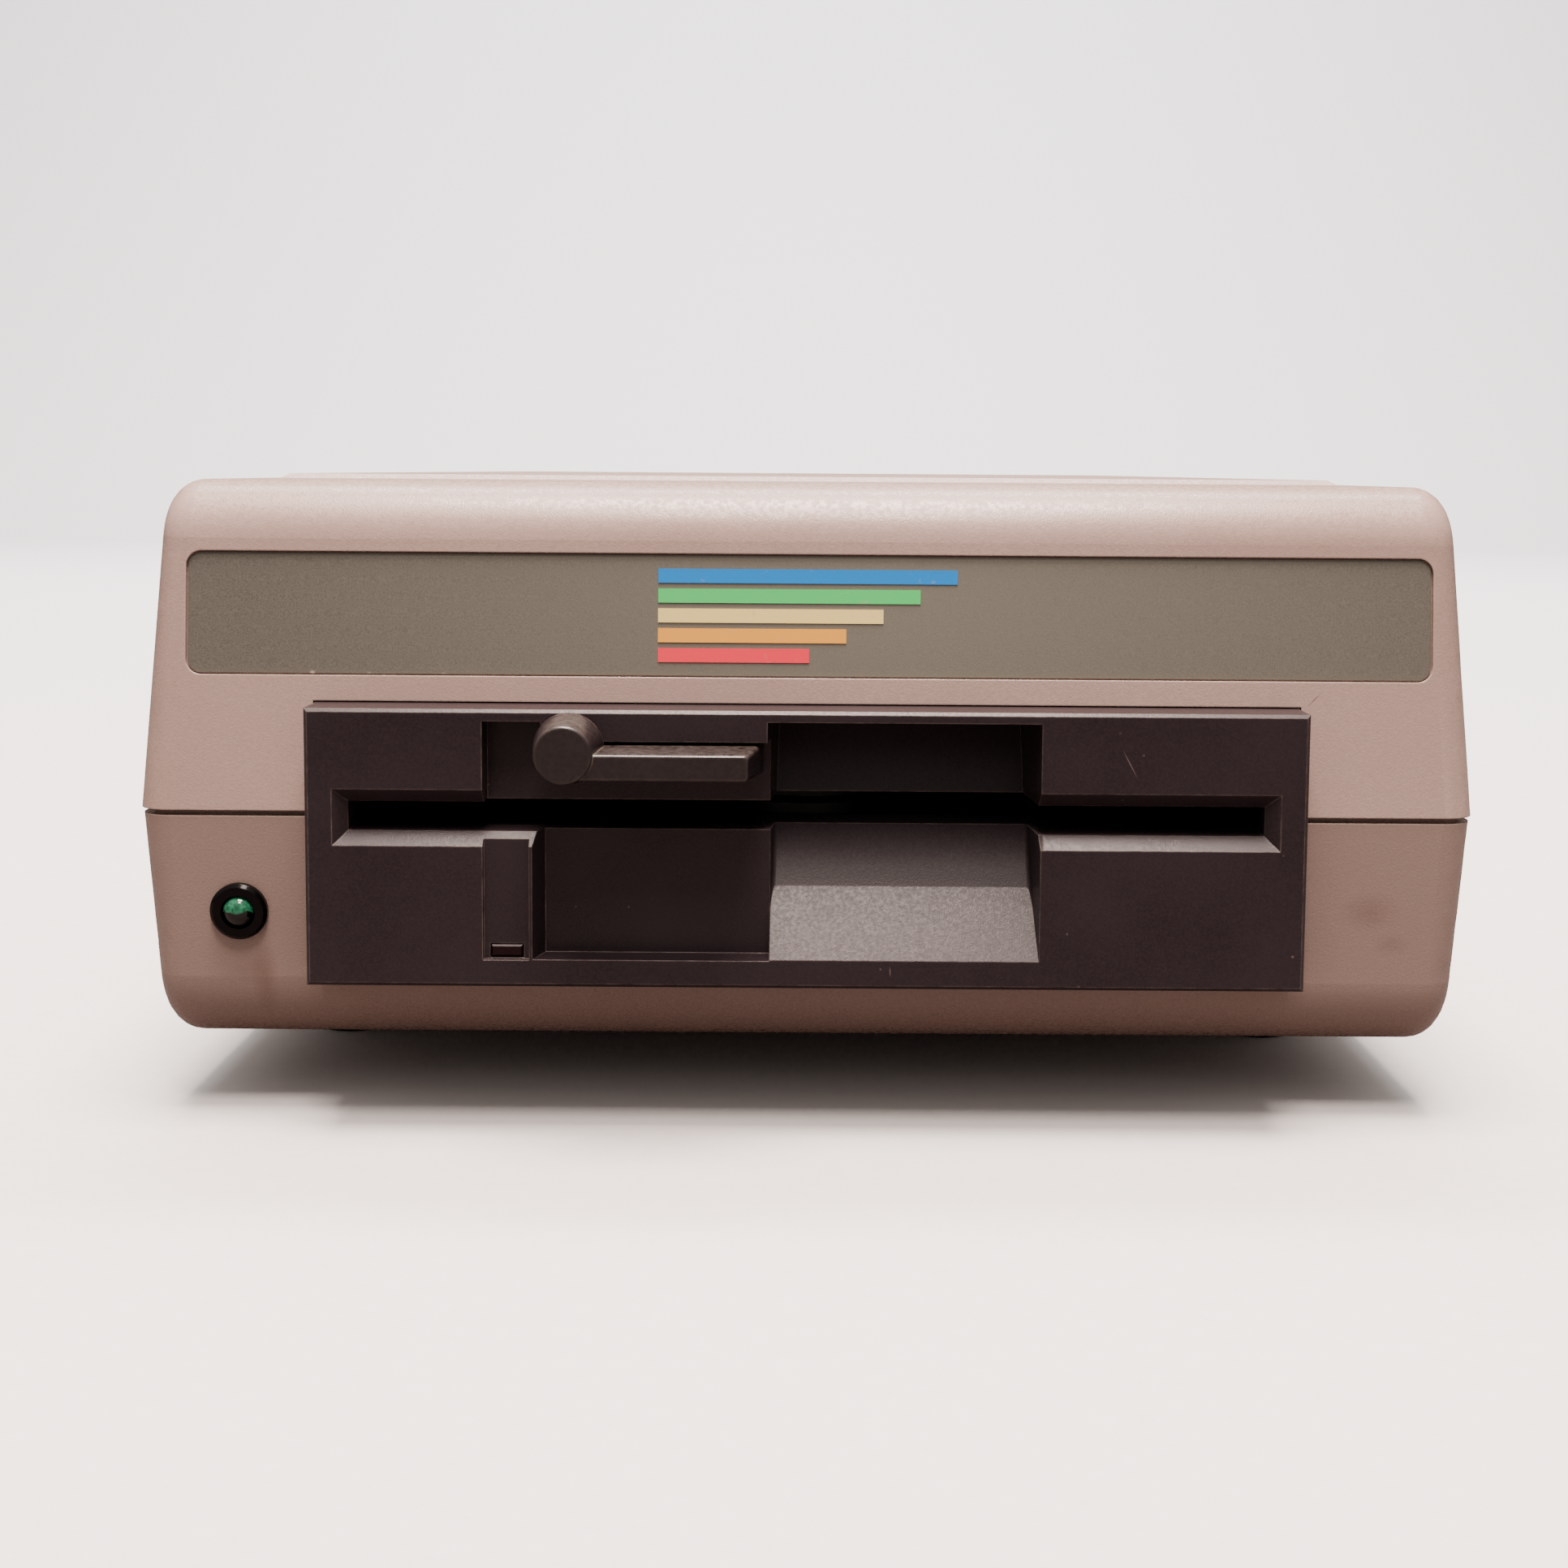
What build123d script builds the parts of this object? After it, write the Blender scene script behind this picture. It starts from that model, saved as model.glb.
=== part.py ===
from build123d import *
import os
from math import copysign, cos, radians, sin, tan

# External drive for 5.25 inch floppy disks, built as its real pieces, in millimetres.
# The frame stands under the middle of the whole drive, on the surface that its feet touch:
# +X is right seen from the front, +Y goes to the back and +Z goes up.
# Most sizes are taken from one datum: the middle of the bezel's face, at the height of the seam
# between the two halves of the case. y then counts back from the bezel's face and h up from the seam.

# ---------------------------------------------------------------- driving dimensions
CASE_W = 200.0          # width at the seam, where the case is widest
FACE_TO_REAR = 374.0    # bezel face to the back of the case, at the seam
COVER_H = 49.4          # seam to the flat top
BASE_H = 36.2           # seam to the flat underside
FOOT_H = 10.8           # underside to the surface it stands on
PANEL_RISE = 0.8        # the vented panel stands this much above the flat top
WALL = 3.0              # moulded walls
SEAM_GAP = 0.85         # open height of the groove between the halves
LIP = 0.25              # the cover overhangs the base by this much
SEAM_FRONT = 6.6        # case front behind the bezel face, at the seam
FRONT_LEAN = 5.0        # degrees the front leans back, away from the seam
REAR_LEAN = 2.0
COVER_DRAFT = 4.0       # degrees on the cover's sides
BASE_DRAFT = 3.0
TOP_EDGE_R = 9.5
BOTTOM_EDGE_R = 12.0
CORNER_R = 5.0

BEZEL_W = 146.0
BEZEL_TOP = 16.55
BEZEL_BOTTOM = -24.3
BEZEL_DEEP = 14.0
OPENING_HALF = BEZEL_W / 2 + 0.4
SKIN = 3.0              # thickness of the bezel's face
SLOT_HALF = 67.0        # the disk slot's throat
SLOT_TOP = 2.75
SLOT_BOTTOM = -1.55
FLARE = 2.0             # 45 degree flare round the slot
RECESS_DEEP = 5.0
RECESS_BOTTOM = -20.2
RECESS_TOP = 11.95
NOTCH_LEFT, NOTCH_RIGHT = -5.7, 34.1

LEVER_X, LEVER_H = -34.5, 11.0   # axis of the lever
KNOB_OUT = 8.3                   # the knob stands out of the bezel
SHAFT_R = 2.5
LEVER_TURN = 90.0

SPINDLE_Y = 74.0
TRACK_0 = 57.15         # radius of the outermost track
TRACK_TRAVEL = 18.0     # 34 steps of 0.529
HEAD_Y = SPINDLE_Y + TRACK_0
DECK_H = -8.0           # top of the chassis deck
DECK_T = 3.0
CHASSIS_BACK = 205.0

CLAMP_X, CLAMP_H = -64.0, 8.5    # hinge of the clamp arm
CLAMP_LIFT = 8.0                 # degrees that the arm rises
ARM_TOP, ARM_T = 3.2, 1.4        # clamp arm's plate when it is down
FLYWHEEL_R = 29.0
MOTOR_X, MOTOR_Y, PULLEY_R = 40.0, 162.0, 6.5
STEP_X, STEP_Y = -42.0, 166.0
CAPSTAN_R = TRACK_TRAVEL / radians(34 * 3.6)   # 34 steps of 3.6 degrees
PAD_LIFT = 8.0                   # degrees that the pad arm rises

TRAY_T = 1.2
TRAY_BACK = 240.0
BOARD_H = 22.0
PANEL_Y = 366.0         # front face of the rear panel
PANEL_T = 2.0
PANEL_HALF_W, PANEL_HALF_H = 86.4, 25.4

RUN = 0.06              # radial clearance of a shaft that turns in its bore
GAP = 0.3               # clearance between pieces that move past each other
FIT = 0.2               # clearance round a piece that is put in its place
PAST = 1.0              # a cut starts this far outside the material that it opens
SMALL_SHANK_R, SMALL_PILOT_R, SMALL_CLEAR_R = 1.2, 1.25, 1.6    # small screws and their holes
PAN_HEAD_R, PAN_HEAD_H = 2.7, 1.8

# ---------------------------------------------------------------- datum
FACE_Y = KNOB_OUT - (FACE_TO_REAR + KNOB_OUT) / 2
SEAM_Z = BASE_H + FOOT_H


def plan(h=0.0):
    """Plane seen from above at height h: sketch x is right, sketch y goes back."""
    return Plane(origin=(0, FACE_Y, SEAM_Z + h))


def front(y=0.0):
    """Plane seen from the front, y behind the bezel face: sketch x is right, sketch y is up."""
    return Plane(origin=(0, FACE_Y + y, SEAM_Z), x_dir=(1, 0, 0), z_dir=(0, -1, 0))


def side(x=0.0):
    """Plane seen from the right at x: sketch x goes back, sketch y is up."""
    return Plane(origin=(x, FACE_Y, SEAM_Z), x_dir=(0, 1, 0), z_dir=(1, 0, 0))


def at(x, y, h):
    """A point given from the datum, in the row frame."""
    return (x, FACE_Y + y, SEAM_Z + h)


def span(x0, x1, y0, y1, mode=Mode.ADD):
    """Rectangle between two corners, inside a sketch."""
    with Locations(((x0 + x1) / 2, (y0 + y1) / 2)):
        Rectangle(abs(x1 - x0), abs(y1 - y0), mode=mode)


def case_half(height, draft, edge_r, corner_r, inset=0.0):
    """One drafted half of the case as a block: rounded front and back edges, then rounded sides."""
    up = copysign(1, height)
    rise = abs(height) - (inset if inset > LIP else 0)
    with BuildPart() as half:
        for h in (0, rise):
            near = SEAM_FRONT + inset + h * tan(radians(FRONT_LEAN))
            far = FACE_TO_REAR - inset - h * tan(radians(REAR_LEAN))
            half_w = CASE_W / 2 - inset - h * tan(radians(draft))
            with BuildSketch(plan(up * h)):
                span(-half_w, half_w, near, far)
        loft()
        closed = half.faces().sort_by(Axis.Z)[-1 if up > 0 else 0]
        fillet(closed.edges().filter_by(Axis.X), edge_r)
        flanks = half.faces().sort_by(Axis.X)
        rim = flanks[0].edges() + flanks[-1].edges()
        fillet([edge for edge in rim if abs(edge.center().Z - SEAM_Z) > 0.1], corner_r)
    return half.part


def upright_screws(places, seat, head_side, shank, shank_r=SMALL_SHANK_R):
    """Pan-head screws on vertical axes: head_side +1 has the head above its seat."""
    with BuildPart() as screws:
        with BuildSketch(plan(seat)):
            with Locations(*places):
                Circle(PAN_HEAD_R)
        extrude(amount=head_side * PAN_HEAD_H)
        with BuildSketch(plan(seat)):
            with Locations(*places):
                Circle(shank_r)
        extrude(amount=-head_side * shank)
    return screws.part


COVER_FRONT = Plane(
    origin=at(0, SEAM_FRONT, 0),
    x_dir=(1, 0, 0),
    z_dir=(0, -cos(radians(FRONT_LEAN)), sin(radians(FRONT_LEAN))),
)
BASE_FRONT = Plane(
    origin=at(0, SEAM_FRONT + LIP, 0),
    x_dir=(1, 0, 0),
    z_dir=(0, -cos(radians(FRONT_LEAN)), -sin(radians(FRONT_LEAN))),
)

SCREW_PLACES = [(x, y) for x in (-86, 86) for y in (32, 346)]
FOOT_PLACES = [(x, y) for x in (-80, 80) for y in (64, 326)]
TRAY_PLACES = [(x, y) for x in (-60, 60) for y in (38, 222)]
COLUMN_R = 5.0
SCREW_SEAT = -14.0      # screw heads sit this deep in the base's columns
COLLAR_DEEP = 3.0       # the rear panel's collar starts this far in front of it
COLLAR_HALF_W, COLLAR_HALF_H = 89.0, 28.0
COLLAR_OPEN_W, COLLAR_OPEN_H = 84.0, 24.0
OPENING_DEEP = 26.0     # length of the cut for the bezel through the case's front

os.makedirs("parts", exist_ok=True)

# ---------------------------------------------------------------- top cover
# Moulded upper half: drafted walls, a strip sunk into the leaning front for the badge, a raised
# panel with two blocks of vent slots, a rebate for the base's tongue and four screw columns.
BADGE_MID, BADGE_UP = 0.25, 29.84       # middle of the badge on the leaning front
BADGE_W, BADGE_H, BADGE_R = 184.8, 17.9, 2.0
BADGE_GAP = 0.25
BADGE_SINK, BADGE_T = 0.8, 0.4
RAISED_HALF, RAISED_FRONT, RAISED_BACK = 90.0, 56.0, 356.0      # the raised panel
COLUMN_PILOT_R, COLUMN_PILOT_DEEP = 1.45, 14.0
TONGUE_OUT, TONGUE_H = 1.8, 3.0         # tongue's outer face inside the case face, and its height
VENT_Y, VENT_PITCH, VENT_ROWS = 292.0, 8.5, 13
VENT_ACROSS, VENT_LONG, VENT_WIDE = 76.0, 62.0, 3.2

with BuildPart() as top_cover:
    add(case_half(COVER_H, COVER_DRAFT, TOP_EDGE_R, CORNER_R))
    with BuildSketch(plan(COVER_H)):
        span(-RAISED_HALF, RAISED_HALF, RAISED_FRONT, RAISED_BACK)
    extrude(amount=PANEL_RISE, taper=60)
    add(case_half(COVER_H, COVER_DRAFT, TOP_EDGE_R - WALL, CORNER_R - WALL, WALL), mode=Mode.SUBTRACT)
    with BuildSketch(plan(0)):
        span(-CASE_W, CASE_W, -20, FACE_TO_REAR + 20)
    extrude(amount=SEAM_GAP / 2, mode=Mode.SUBTRACT)
    with BuildSketch(plan(0)):
        with Locations(*SCREW_PLACES):
            Circle(COLUMN_R - 1)
    extrude(amount=COVER_H - WALL / 2)
    with BuildSketch(plan(0)):
        with Locations(*SCREW_PLACES):
            Circle(COLUMN_PILOT_R)
    extrude(amount=COLUMN_PILOT_DEEP, mode=Mode.SUBTRACT)
    # collar that holds the upper part of the rear panel
    with BuildSketch(front(PANEL_Y - COLLAR_DEEP)):
        span(-COLLAR_HALF_W, COLLAR_HALF_W, SEAM_GAP / 2, COLLAR_HALF_H)
    extrude(amount=-(FACE_TO_REAR - PANEL_Y + PAST))
    with BuildSketch(front(PANEL_Y - COLLAR_DEEP - PAST)):
        span(-COLLAR_OPEN_W, COLLAR_OPEN_W, -PAST, COLLAR_OPEN_H)
    extrude(amount=-20, mode=Mode.SUBTRACT)
    with BuildSketch(front(PANEL_Y - FIT / 2)):
        span(-PANEL_HALF_W - FIT, PANEL_HALF_W + FIT, -PAST, PANEL_HALF_H + FIT)
    extrude(amount=-(PANEL_T + FIT), mode=Mode.SUBTRACT)
    # rebate for the base's tongue
    rebate = TONGUE_OUT - FIT
    with BuildSketch(plan(0)):
        with Locations((0, (SEAM_FRONT + FACE_TO_REAR) / 2)):
            long_side = FACE_TO_REAR - SEAM_FRONT
            RectangleRounded(CASE_W - 2 * rebate, long_side - 2 * rebate, CORNER_R - rebate)
            inner = WALL + FIT
            RectangleRounded(CASE_W - 2 * inner, long_side - 2 * inner, CORNER_R - inner,
                             mode=Mode.SUBTRACT)
    extrude(amount=TONGUE_H + 2 * FIT, mode=Mode.SUBTRACT)
    # opening for the bezel
    with BuildSketch(front(-2)):
        span(-OPENING_HALF, OPENING_HALF, BEZEL_BOTTOM - FIT, BEZEL_TOP + FIT)
    extrude(amount=-OPENING_DEEP, mode=Mode.SUBTRACT)
    with BuildSketch(COVER_FRONT):
        with Locations((BADGE_MID, BADGE_UP)):
            RectangleRounded(BADGE_W + 2 * BADGE_GAP, BADGE_H + 2 * BADGE_GAP, BADGE_R + BADGE_GAP)
    extrude(amount=-BADGE_SINK, mode=Mode.SUBTRACT)
    with BuildSketch(plan(COVER_H - WALL - PAST)):
        with Locations((0, VENT_Y)):
            with GridLocations(VENT_ACROSS, VENT_PITCH, 2, VENT_ROWS):
                Rectangle(VENT_LONG, VENT_WIDE)
    extrude(amount=WALL + PANEL_RISE + 2 * PAST, mode=Mode.SUBTRACT)
top_cover.part.label = "top_cover"
export_step(top_cover.part, "parts/top_cover.step")

# ---------------------------------------------------------------- base
# Moulded lower half: it carries the tongue that closes the seam, the columns for the case screws,
# posts for the tray and the transformer, moulded foot pads and the hole of the power lamp.
LAMP_X, LAMP_H = -84.8, -15.0
CORE_X, CORE_Y, CORE_BOTTOM = -46.0, 302.0, -29.2
STRAP_PLACES = [(CORE_X - 40, CORE_Y), (CORE_X + 40, CORE_Y)]
POST_R, POST_PILOT_DEEP = 4.0, 6.0
PAD_R, PAD_DROP = 11.0, 4.8
FOOT_R, FOOT_SEAT = 7.6, 1.0            # rubber foot, and how deep the pad takes it
HEAD_BORE_R, SHANK_BORE_R = 3.1, 1.7    # bores of the case screws in the columns
LAMP_HOLE_R = 3.5
FLOOR_VENT_Y, FLOOR_VENT_ROWS = 263.0, 4

with BuildPart() as base_case:
    add(case_half(-BASE_H, BASE_DRAFT, BOTTOM_EDGE_R, CORNER_R, LIP))
    add(case_half(-BASE_H, BASE_DRAFT, BOTTOM_EDGE_R - WALL, CORNER_R - WALL, WALL), mode=Mode.SUBTRACT)
    with BuildSketch(plan(0)):
        span(-CASE_W, CASE_W, -20, FACE_TO_REAR + 20)
    extrude(amount=-SEAM_GAP / 2, mode=Mode.SUBTRACT)
    with BuildSketch(plan(-2)):
        with Locations((0, (SEAM_FRONT + FACE_TO_REAR) / 2)):
            long_side = FACE_TO_REAR - SEAM_FRONT
            RectangleRounded(CASE_W - 2 * TONGUE_OUT, long_side - 2 * TONGUE_OUT, CORNER_R - TONGUE_OUT)
            RectangleRounded(CASE_W - 2 * WALL, long_side - 2 * WALL, CORNER_R - WALL, mode=Mode.SUBTRACT)
    extrude(amount=TONGUE_H + 2)
    floor = -BASE_H + WALL / 2              # posts and columns start inside the floor's thickness
    with BuildSketch(plan(floor)):
        with Locations(*SCREW_PLACES):
            Circle(COLUMN_R)
    extrude(amount=-floor)
    with BuildSketch(plan(-BASE_H - PAST)):
        with Locations(*SCREW_PLACES):
            Circle(HEAD_BORE_R)
    extrude(amount=BASE_H + PAST + SCREW_SEAT, mode=Mode.SUBTRACT)
    with BuildSketch(plan(SCREW_SEAT - PAST)):
        with Locations(*SCREW_PLACES):
            Circle(SHANK_BORE_R)
    extrude(amount=-SCREW_SEAT + 2 * PAST, mode=Mode.SUBTRACT)
    # posts for the steel tray and for the transformer's frame
    for places, top in ((TRAY_PLACES, BEZEL_BOTTOM - TRAY_T), (STRAP_PLACES, CORE_BOTTOM)):
        with BuildSketch(plan(floor)):
            with Locations(*places):
                Circle(POST_R)
        extrude(amount=top - floor)
        with BuildSketch(plan(top)):
            with Locations(*places):
                Circle(SMALL_PILOT_R)
        extrude(amount=-POST_PILOT_DEEP, mode=Mode.SUBTRACT)
    # foot pads, each with a shallow seat for its rubber foot
    with BuildSketch(plan(-BASE_H + 0.5)):
        with Locations(*FOOT_PLACES):
            Circle(PAD_R)
    extrude(amount=-(PAD_DROP + 0.5), taper=8)
    with BuildSketch(plan(-BASE_H - PAD_DROP)):
        with Locations(*FOOT_PLACES):
            Circle(FOOT_R + 0.5)
    extrude(amount=FOOT_SEAT, mode=Mode.SUBTRACT)
    # slots in the floor, between the tray and the transformer, let cool air in
    with BuildSketch(plan(-BASE_H - PAST)):
        with Locations((0, FLOOR_VENT_Y)):
            with GridLocations(VENT_ACROSS, VENT_PITCH, 2, FLOOR_VENT_ROWS):
                Rectangle(VENT_LONG, VENT_WIDE)
    extrude(amount=WALL + 2 * PAST, mode=Mode.SUBTRACT)
    # lower part of the rear panel's collar
    with BuildSketch(front(PANEL_Y - COLLAR_DEEP)):
        span(-COLLAR_HALF_W, COLLAR_HALF_W, -COLLAR_HALF_H, -SEAM_GAP / 2)
    extrude(amount=-(FACE_TO_REAR - PANEL_Y + PAST))
    with BuildSketch(front(PANEL_Y - COLLAR_DEEP - PAST)):
        span(-COLLAR_OPEN_W, COLLAR_OPEN_W, -COLLAR_OPEN_H, TONGUE_H + PAST)
    extrude(amount=-20, mode=Mode.SUBTRACT)
    with BuildSketch(front(PANEL_Y - FIT / 2)):
        span(-PANEL_HALF_W - FIT, PANEL_HALF_W + FIT, -PANEL_HALF_H - FIT, PAST)
    extrude(amount=-(PANEL_T + FIT), mode=Mode.SUBTRACT)
    with BuildSketch(front(-2)):
        span(-OPENING_HALF, OPENING_HALF, BEZEL_BOTTOM - FIT, BEZEL_TOP + FIT)
    extrude(amount=-OPENING_DEEP, mode=Mode.SUBTRACT)
    with BuildSketch(BASE_FRONT):
        with Locations((LAMP_X, LAMP_H)):
            Circle(LAMP_HOLE_R)
    extrude(amount=2 * WALL, both=True, mode=Mode.SUBTRACT)
base_case.part.label = "base_case"
export_step(base_case.part, "parts/base_case.step")

# ---------------------------------------------------------------- feet and case screws
with BuildPart() as rubber_feet:
    with BuildSketch(plan(-BASE_H - FOOT_H)):
        with Locations(*FOOT_PLACES):
            Circle(FOOT_R)
    extrude(amount=FOOT_H - PAD_DROP + FOOT_SEAT)
    chamfer(rubber_feet.edges().group_by(Axis.Z)[0], 0.8)
rubber_feet.part.label = "rubber_feet"
export_step(rubber_feet.part, "parts/rubber_feet.step")

case_screws = upright_screws(SCREW_PLACES, SCREW_SEAT, -1, -SCREW_SEAT + 11, shank_r=1.4)
case_screws.label = "case_screws"
export_step(case_screws, "parts/case_screws.step")

# ---------------------------------------------------------------- badge and its stripes
# A thin aluminium strip lies in the sunk field. Its only print is a block of plain colour bars
# that step down in length.
with BuildPart() as badge_plate:
    with BuildSketch(COVER_FRONT.offset(-BADGE_SINK)):
        with Locations((BADGE_MID, BADGE_UP)):
            RectangleRounded(BADGE_W, BADGE_H, BADGE_R)
    extrude(amount=BADGE_T)
badge_plate.part.label = "badge_plate"
export_step(badge_plate.part, "parts/badge_plate.step")

BAR_LONG, BAR_STEP, BAR_H, BAR_PITCH, BAR_COUNT = 44.5, 5.5, 2.1, 2.95, 5
INK_T = 0.12
with BuildPart() as badge_bars:
    with BuildSketch(COVER_FRONT.offset(BADGE_T - BADGE_SINK)):
        for row in range(BAR_COUNT):
            length = BAR_LONG - BAR_STEP * row
            middle = length / 2 - BAR_LONG / 2
            with Locations((middle, BADGE_UP + BAR_PITCH * ((BAR_COUNT - 1) / 2 - row))):
                Rectangle(length, BAR_H)
    extrude(amount=INK_T)
badge_bars.part.label = "badge_bars"
export_step(badge_bars.part, "parts/badge_bars.step")

# ---------------------------------------------------------------- power lamp
# A 5 mm lamp pushed into a black clip whose collar stands on the leaning front.
COLLAR_R, COLLAR_OUT = 4.3, 1.3
LENS_R, LENS_OUT, LENS_IN = 2.5, 2.3, 6.2
LENS_RIM_R, LENS_RIM_T = 2.9, 1.0
with BuildPart() as lamp_clip:
    with BuildSketch(BASE_FRONT):
        with Locations((LAMP_X, LAMP_H)):
            Circle(COLLAR_R)
    extrude(amount=COLLAR_OUT)
    chamfer(lamp_clip.edges().filter_by(GeomType.CIRCLE).sort_by(Axis.Y)[0], 0.5)
    with BuildSketch(BASE_FRONT):
        with Locations((LAMP_X, LAMP_H)):
            Circle(LAMP_HOLE_R - 0.1)
    extrude(amount=-2 * WALL)
    with BuildSketch(BASE_FRONT):
        with Locations((LAMP_X, LAMP_H)):
            Circle(LENS_R + 0.05)
    extrude(amount=8, both=True, mode=Mode.SUBTRACT)
lamp_clip.part.label = "lamp_clip"
export_step(lamp_clip.part, "parts/lamp_clip.step")

with BuildPart() as power_lamp:
    with BuildSketch(BASE_FRONT.offset(-LENS_IN)):
        with Locations((LAMP_X, LAMP_H)):
            Circle(LENS_R)
    extrude(amount=LENS_IN + LENS_OUT)
    fillet(power_lamp.edges().filter_by(GeomType.CIRCLE).sort_by(Axis.Y)[0], LENS_R - 0.2)
    with BuildSketch(BASE_FRONT.offset(-LENS_IN)):
        with Locations((LAMP_X, LAMP_H)):
            Circle(LENS_RIM_R)
    extrude(amount=-LENS_RIM_T)
power_lamp.part.label = "power_lamp"
export_step(power_lamp.part, "parts/power_lamp.step")

# ---------------------------------------------------------------- bezel
# Moulded black face of the drive. The slot's flared mouth crosses a finger notch whose floor is
# two slopes, and a shallow recess in which the lever's arm swings down.
NOTCH_FOOT, CREASE, THROAT = (0.0, -20.06), (7.0, -10.4), (11.5, 0.0)   # y and h of the notch's floor
NOTCH_ROOF = [(14.0, 2.0), (17.0, 13.0), (0.0, 14.9)]
SLOT_BOX_HALF = 70.5                    # box that stiffens the skin behind the slot
RECESS_LEFT, RECESS_DRAFT = -38.6, 1.56
POCKET_LEFT, POCKET_TOP = -47.1, 14.8   # deep corner on the left of the knob
STRIP_RIGHT, STRIP_DEEP = -40.4, 1.0    # strip under the pocket that carries the activity lamp
WINDOW_LEFT, WINDOW_RIGHT, WINDOW_LOW, WINDOW_HIGH = -46.15, -41.25, -20.1, -18.05
KNOB_BORE_R = 4.4
with BuildPart() as finger_notch:
    with BuildSketch(side(NOTCH_LEFT - 1)):
        with BuildLine():
            Polyline(NOTCH_FOOT, CREASE)
            Spline(CREASE, THROAT, tangents=((0.5, 0.87), (0.22, 0.98)))
            Polyline(THROAT, *NOTCH_ROOF, (-3, 14.9), (-3, -24.2), NOTCH_FOOT)
        make_face()
    extrude(amount=NOTCH_RIGHT - NOTCH_LEFT + 2)
    with BuildSketch(front(-3)):
        span(NOTCH_LEFT - 0.25, NOTCH_RIGHT + 0.25, -26, 20)
    extrude(amount=-24, taper=4.8, mode=Mode.INTERSECT)
    back_wall = finger_notch.faces().filter_by(lambda f: f.normal_at().Y > 0.9).sort_by(SortBy.AREA)[-1]
    fillet(back_wall.edges().sort_by(Axis.Z)[1:], 0.6)

with BuildPart() as bezel:
    with BuildSketch(front(0)):
        span(-BEZEL_W / 2, BEZEL_W / 2, BEZEL_BOTTOM, BEZEL_TOP)
    extrude(amount=-BEZEL_DEEP)
    chamfer(bezel.faces().sort_by(Axis.Y)[0].edges(), 0.5)
    with BuildSketch(front(SKIN)):
        span(-BEZEL_W / 2 + 2.5, BEZEL_W / 2 - 2.5, BEZEL_BOTTOM + 2.5, BEZEL_TOP - 2.5)
    extrude(amount=-BEZEL_DEEP, mode=Mode.SUBTRACT)
    with BuildSketch(front(SKIN - 1)):
        span(-SLOT_BOX_HALF, SLOT_BOX_HALF, SLOT_BOTTOM - 2.5, SLOT_TOP + 2.5)
    extrude(amount=-8)
    with BuildSketch(front(SKIN - 1)):
        span(-49, NOTCH_LEFT, RECESS_BOTTOM - 2.3, BEZEL_TOP - 1)
    extrude(amount=-(RECESS_DEEP - SKIN + 1 + 2.5))
    with BuildSketch(front(SKIN - 1)):
        span(NOTCH_LEFT - 2, NOTCH_RIGHT + 2, RECESS_BOTTOM - 2.3, BEZEL_TOP - 0.5)
    extrude(amount=-(19 - SKIN + 1))
    # slot and its flare
    with BuildSketch(front(0)):
        span(-SLOT_HALF - FLARE, SLOT_HALF + FLARE, SLOT_BOTTOM - FLARE, SLOT_TOP + FLARE)
    extrude(amount=-FLARE, taper=45, mode=Mode.SUBTRACT)
    with BuildSketch(front(-1)):
        span(-SLOT_HALF, SLOT_HALF, SLOT_BOTTOM, SLOT_TOP)
    extrude(amount=-24, mode=Mode.SUBTRACT)
    # the lever's recess: drafted on its left, and taller beside the knob
    with BuildSketch(plan(RECESS_BOTTOM)):
        with BuildLine():
            Polyline((RECESS_LEFT - RECESS_DRAFT, -PAST), (RECESS_LEFT, RECESS_DEEP),
                     (NOTCH_LEFT + 0.4, RECESS_DEEP), (NOTCH_LEFT + 0.4, -PAST), close=True)
        make_face()
    extrude(amount=RECESS_TOP - RECESS_BOTTOM, mode=Mode.SUBTRACT)
    with BuildSketch(front(-1)):
        span(POCKET_LEFT, RECESS_LEFT, 0, POCKET_TOP)
    extrude(amount=-(RECESS_DEEP + PAST), mode=Mode.SUBTRACT)
    # strip that carries the activity lamp
    with BuildSketch(front(-1)):
        span(POCKET_LEFT, STRIP_RIGHT, RECESS_BOTTOM - 0.1, 0)
    extrude(amount=-(STRIP_DEEP + PAST), mode=Mode.SUBTRACT)
    with BuildSketch(front(-PAST)):
        span(WINDOW_LEFT, WINDOW_RIGHT, WINDOW_LOW, WINDOW_HIGH)
    extrude(amount=-BEZEL_DEEP, mode=Mode.SUBTRACT)
    # bore for the knob's hub, then a clear hole for the shaft
    with BuildSketch(front(-1)):
        with Locations((LEVER_X, LEVER_H)):
            Circle(KNOB_BORE_R)
    extrude(amount=-(RECESS_DEEP + PAST), mode=Mode.SUBTRACT)
    with BuildSketch(front(-1)):
        with Locations((LEVER_X, LEVER_H)):
            Circle(SHAFT_R + 0.4)
    extrude(amount=-12, mode=Mode.SUBTRACT)
    add(finger_notch.part, mode=Mode.SUBTRACT)
bezel.part.label = "bezel"
export_step(bezel.part, "parts/bezel.step")

with BuildPart() as activity_lamp:
    with BuildSketch(front(STRIP_DEEP - 0.2)):
        span(WINDOW_LEFT + 0.05, WINDOW_RIGHT - 0.05, WINDOW_LOW + 0.05, WINDOW_HIGH - 0.05)
    extrude(amount=-8)
    chamfer(activity_lamp.faces().sort_by(Axis.Y)[0].edges(), 0.35)
    with BuildSketch(front(RECESS_DEEP + 2.5)):
        span(WINDOW_LEFT - 0.85, WINDOW_RIGHT + 0.85, WINDOW_LOW - 0.8, WINDOW_HIGH + 0.85)
    extrude(amount=-1.5)
activity_lamp.part.label = "activity_lamp"
export_step(activity_lamp.part, "parts/activity_lamp.step")

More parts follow.
